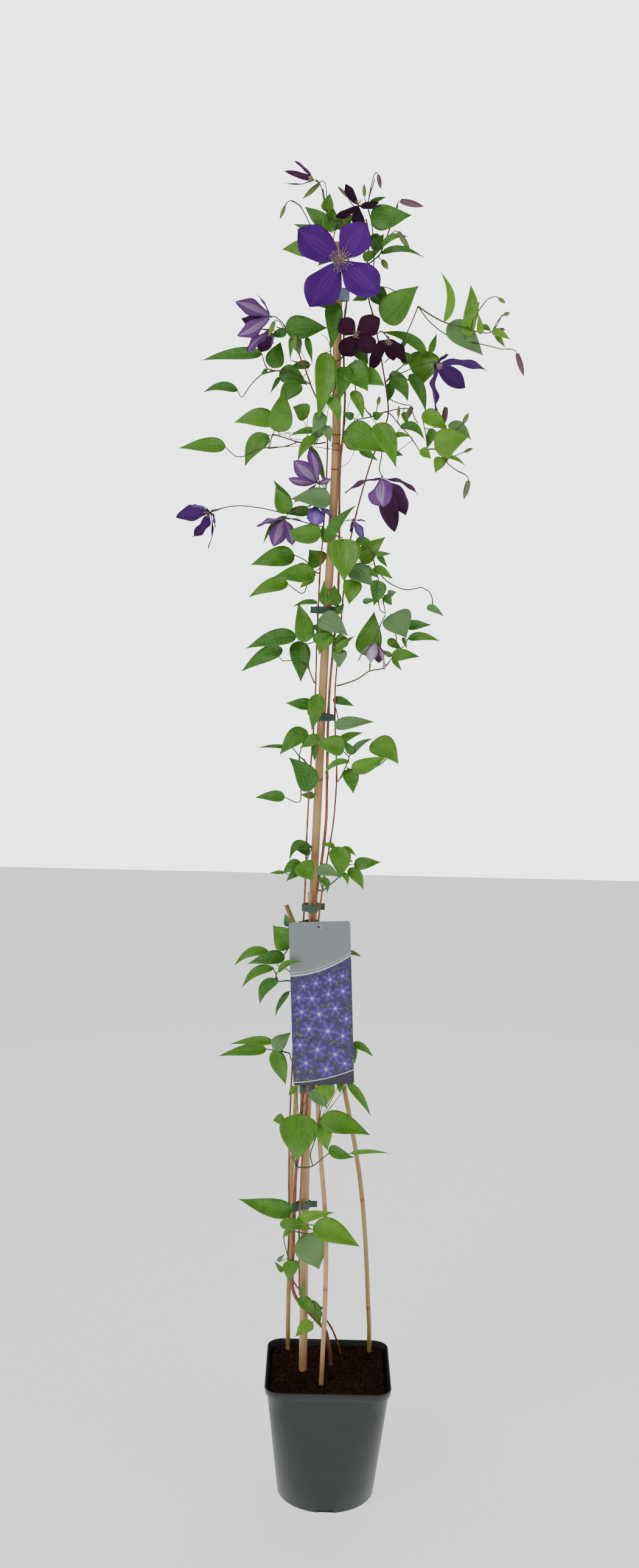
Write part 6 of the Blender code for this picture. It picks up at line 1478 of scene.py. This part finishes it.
def label_material():
    """A printed card: bare grey header, white arcs, and a plain field of star flowers and leaves."""
    n = Nodes("printed_card")
    x, z, _ = n.split(n.add("ShaderNodeUVMap").outputs[0])
    x, z = n.times(n.minus(x, 0.5), LABEL_SIZE[0]), n.times(n.minus(z, 0.5), LABEL_SIZE[1])
    where = n.add("ShaderNodeCombineXYZ", {0: x, 1: z}).outputs[0]
    field = n.ramp(n.noise(where, 7.0, 5.0, 0.65), ((0.36, "#1a1038"), (0.5, "#3a2274"),
                                                    (0.57, "#2c4030"), (0.7, "#7c9a62")))
    for cx, cz, size, turn in STARS:
        dx, dz = n.minus(x, cx), n.minus(z, cz)
        far = n.math("SQRT", n.plus(n.times(dx, dx), n.times(dz, dz)))
        angle = n.plus(n.math("ARCTAN2", dz, dx), turn)
        lobe = n.size_of(n.math("COSINE", n.times(angle, 3.0)))
        reach = n.plus(0.5 * size, n.times(n.power(lobe, 0.6), 0.5 * size))
        inside = n.times(n.minus(reach, far), 2.0, clamp=True)
        petal = n.ramp(n.over(far, size), ((0.1, "#9a80d0"), (0.4, "#5230a0"), (1.0, "#3c2084")))
        petal = n.mix(n.times(n.power(lobe, 12.0), 0.25), petal, "#a080d0")
        petal = n.mix(n.power(n.minus(1.0, lobe), 3.0), petal, "#22104c")
        field = n.mix(inside, field, petal)
        heart = n.times(n.minus(0.14 * size, far), 2.0, clamp=True)
        field = n.mix(heart, field, "#efe6b0")
    over = n.plus(x, LABEL_SIZE[0] / 2)
    bend = n.times(n.times(over, over), 0.0035)
    line = n.plus(43.0, bend)
    header = n.times(n.minus(z, line), 3.0, clamp=True)
    colour = n.mix(header, field, "#858b90")
    base_line = n.minus(n.times(bend, 0.6), 119.0)
    foot = n.times(n.minus(base_line, z), 3.0, clamp=True)
    colour = n.mix(foot, colour, "#1c1636")
    for middle, half in ((line, 1.1), (n.plus(line, 4.6), 0.5), (base_line, 0.8)):
        gap = n.size_of(n.minus(z, middle))
        colour = n.mix(n.times(n.minus(half, gap), 2.5, clamp=True), colour, "#e6e8ea")
    n.bump(n.noise(where, 30.0, 2.0), 0.4, 0.25)
    return n.finish(colour, 0.33, Coat_Weight=0.35, Coat_Roughness=0.2)


def label_piece(material):
    """The flat card with round corners and a hole, its UV map across the print."""
    width, height = LABEL_SIZE
    outline = []
    for quarter, (sx, sz) in enumerate(((1, 1), (-1, 1), (-1, -1), (1, -1))):
        for k in range(7):
            angle = math.radians(90 * quarter + 15 * k)
            outline.append((sx * (width / 2 - LABEL_CORNER) + LABEL_CORNER * math.cos(angle),
                            sz * (height / 2 - LABEL_CORNER) + LABEL_CORNER * math.sin(angle)))
    turns = [2 * math.pi * k / 24 for k in range(24)]
    hole = [(HOLE_RADIUS * math.cos(turn), height / 2 - HOLE_DROP + HOLE_RADIUS * math.sin(turn))
            for turn in turns]
    curve = start_piece("label_outline", "CURVE")
    curve.data.dimensions = "2D"
    curve.data.fill_mode = "BOTH"
    curve.data.extrude = CARD_HALF * MM
    curve.data.bevel_depth = CARD_EDGE * MM
    for loop in (outline, hole):
        spline = curve.data.splines.new("POLY")
        spline.points.add(len(loop) - 1)
        spline.use_cyclic_u = True
        for knot, (x, z) in zip(spline.points, loop):
            knot.co = (x * MM, z * MM, 0, 1)
    mesh = made_mesh(curve)
    bpy.data.objects.remove(curve)
    item = start_piece("label_fine")
    item.data = mesh
    while mesh.uv_layers:
        mesh.uv_layers.remove(mesh.uv_layers[0])
    layer = mesh.uv_layers.new(name="print")
    for loop in mesh.loops:
        place = mesh.vertices[loop.vertex_index].co
        layer.data[loop.index].uv = (place.x / MM / width + 0.5, place.y / MM / height + 0.5)
    turn = Matrix.Rotation(math.radians(-LABEL_TURN), 4, "Y") @ Matrix.Rotation(math.radians(90), 4, "X")
    mesh.transform(Matrix.Translation(LABEL_CENTRE) @ turn)
    return settle(item, "label", "label_card", material, angle=30)


shafts = shaft_tree()
stamens = stamen_tree()
crumbs = crumb_tree()

leaf_finish = leaf_material("leaf_green_fine", "#143f04", "#2f7007", "#6aa010", "#7fa830", "#6f9262")
stem_finish = stem_material("shoot_stem", "#56482e", "#4c6a28", "#4a2c30", 9.0)
bud_finish = stem_material("bud_skin", "#738a3e", "#74505e", "#6a5a58", 7.0, 0.5, 0.9)
bark_finish = stem_material("vine_bark_fine", "#7a4028", "#a5694a", "#4a2a1e", 3.0, 0.6)
tendril_finish = stem_material("tendril_skin", "#4a3a30", "#6a5a38", "#5a3038", 4.0, 0.55)
filament = stem_material("stamen_pale", "#b89a90", "#d0c09a", "#8a4a7a", 2.0)
anther = stem_material("stamen_tip", "#a08c70", "#c8b890", "#6a4a4a", 1.0, 0.7)
bamboo = cane_material("bamboo_fine", "#d8b27c", "#b98a52", "#8a6440")
tan = cane_material("cane_tan_fine", "#c0a060", "#9a7c3c", "#6a5028")

# Each bloom's colours of body, edge and ribs, outside and inside.
PETALS = {
    "violet": (("#70409c", "#5e2490", "#b094c4"), ("#4c0078", "#56047e", "#7a2c98")),
    "maroon": (("#46244c", "#3a1640", "#8c6a8c"), ("#2c021c", "#340424", "#4a0830")),
    "lilac": (("#78488c", "#5c2c76", "#c8b2ce"), ("#3c0a38", "#4c1450", "#642454")),
    "blue": (("#7a58a8", "#54309a", "#ac9ccc"), ("#420c5c", "#4c1470", "#6e3488")),
    "pink": (("#7a5478", "#522650", "#bca4b6"), ("#4a1a46", "#5a2856", "#7a486e")),
    "dusk": (("#604070", "#482458", "#a08aac"), ("#22041a", "#2a0a26", "#42103a")),
    "white": (("#c4a8cc", "#6a2858", "#e0d2e2"), ("#5a1a4c", "#682658", "#8a3c70")),
}
petals = {tone: sepal_material("petal_" + tone, *faces) for tone, faces in PETALS.items()}


def plastic(name, first, second, rough, grain, coat=0.0):
    """Moulded plastic with a fine grain, slightly uneven and dusty."""
    n = Nodes(name)
    where = n.place()
    colour = n.mix(n.noise(where, 40.0, 4.0), first, second)
    dust = n.ramp(n.noise(where, 7.0, 5.0), ((0.58, "#000000"), (0.8, "#383838")))
    colour = n.mix(dust, colour, "#6f7268")
    n.bump(n.noise(where, grain, 2.0), 0.12, 0.5)
    return n.finish(colour, rough, Coat_Weight=coat)


def soil_material():
    """Dark peat with browner bark."""
    n = Nodes("potting_soil_fine")
    where = n.place()
    colour = n.ramp(n.noise(where, 3.5, 6.0, 0.7), ((0.32, "#0a0402"), (0.5, "#25120a"),
                                                    (0.7, "#5c3620")))
    n.bump(n.noise(where, 1.8, 5.0, 0.7), 1.6, 0.9)
    return n.finish(colour, 0.95, Specular_IOR_Level=0.1)


def main():
    pot_piece(plastic("pot_plastic_fine", "#0d1212", "#191f1f", 0.46, 1.2, 0.1))
    soil_piece(soil_material())
    # Each cane's radius, the gap between its joints and the height of one joint, in mm.
    cane_piece("cane_main", CANE_MAIN, 6.3, 279.0, 262.0, "bamboo", bamboo)
    cane_piece("cane_left", CANE_LEFT, 3.6, 184.0, 322.0, "cane_tan", tan)
    cane_piece("cane_front", CANE_FRONT, 3.6, 230.0, 330.0, "bamboo", bamboo)
    cane_piece("cane_right", CANE_RIGHT, 3.6, 179.0, 262.0, "cane_tan", tan)
    # Each vine's radius at its foot and at its tip, in mm.
    vine_piece("vine_main", VINE_MAIN, (3.0, 1.4), bark_finish)
    vine_piece("vine_left", VINE_LEFT, (1.5, 1.2), bark_finish)
    vine_piece("vine_right", VINE_RIGHT, (1.5, 1.2), bark_finish)
    tendril_piece(tendril_finish)
    green_strap = plastic("strap_green", "#35503f", "#47665a", 0.5, 0.8)
    pale_strap = plastic("strap_pale", "#9fb4b8", "#8aa2ac", 0.35, 0.8, 0.2)
    for name in TIES:
        tie_piece(name, pale_strap if name == "tie_1800" else green_strap)
    label_piece(label_material())
    for name, row in SPRAYS.items():
        dress_spray(name, row, leaf_finish, stem_finish)
    for name, row in BLOOMS.items():
        dress_bloom(name, row, petals[row["tone"]], stem_finish)
    stage_set()


# The lamps: place in metres, size in metres and watts. The sky's strength on things and as it is seen.
LAMPS = (("key", (-1.9, -2.6, 3.2), 1.6, 50), ("fill", (2.4, -2.0, 1.6), 2.2, 12),
         ("back", (0.6, 2.4, 2.8), 1.8, 20))
LAMP_AIM = Vector((0, 0, 1.1))
SKY_LIGHT, SKY_SEEN = 0.3, 3.6

# The camera: its lens as a share of its sensor's height, and its tilt down and roll in degrees.
LENS, TILT, ROLL = 2740 / 2576, 6.0, 1.3


def stage_set():
    """The floor, soft light and the camera at the viewer's place."""
    floor = start_piece("floor")
    floor.data.from_pydata([(-6, -6, 0), (6, -6, 0), (6, 6, 0), (-6, 6, 0)], [], [(0, 1, 2, 3)])
    n = Nodes("pale_floor")
    floor.data.materials.append(n.finish(shade("#ecebe9"), 0.8, Emission_Color=shade("#f4f6f8"),
                                         Emission_Strength=1.0))
    world = bpy.data.worlds.new("soft_sky")
    world.use_nodes = True
    tree = world.node_tree
    back = tree.nodes["Background"]
    back.inputs[0].default_value = shade("#f6f8fa")
    path = tree.nodes.new("ShaderNodeLightPath")
    level = tree.nodes.new("ShaderNodeMapRange")
    level.inputs["To Min"].default_value = SKY_LIGHT
    level.inputs["To Max"].default_value = SKY_SEEN
    tree.links.new(path.outputs["Is Camera Ray"], level.inputs["Value"])
    tree.links.new(level.outputs[0], back.inputs[1])
    bpy.context.scene.world = world
    for name, place, size, watts in LAMPS:
        data = bpy.data.lights.new(name, "AREA")
        data.size = size
        data.energy = watts
        lamp = bpy.data.objects.new(name, data)
        lamp.location = place
        lamp.rotation_euler = (LAMP_AIM - Vector(place)).to_track_quat("-Z", "Y").to_euler()
        bpy.context.scene.collection.objects.link(lamp)
    data = bpy.data.cameras.new("viewer")
    data.sensor_fit = "VERTICAL"
    data.sensor_height = 36
    data.lens = data.sensor_height * LENS
    data.clip_end = 30
    camera = bpy.data.objects.new("viewer", data)
    camera.location = EYE
    tilt = Matrix.Rotation(math.radians(90 - TILT), 4, "X")
    camera.rotation_euler = (tilt @ Matrix.Rotation(math.radians(ROLL), 4, "Z")).to_euler()
    bpy.context.scene.collection.objects.link(camera)
    bpy.context.scene.camera = camera


main()
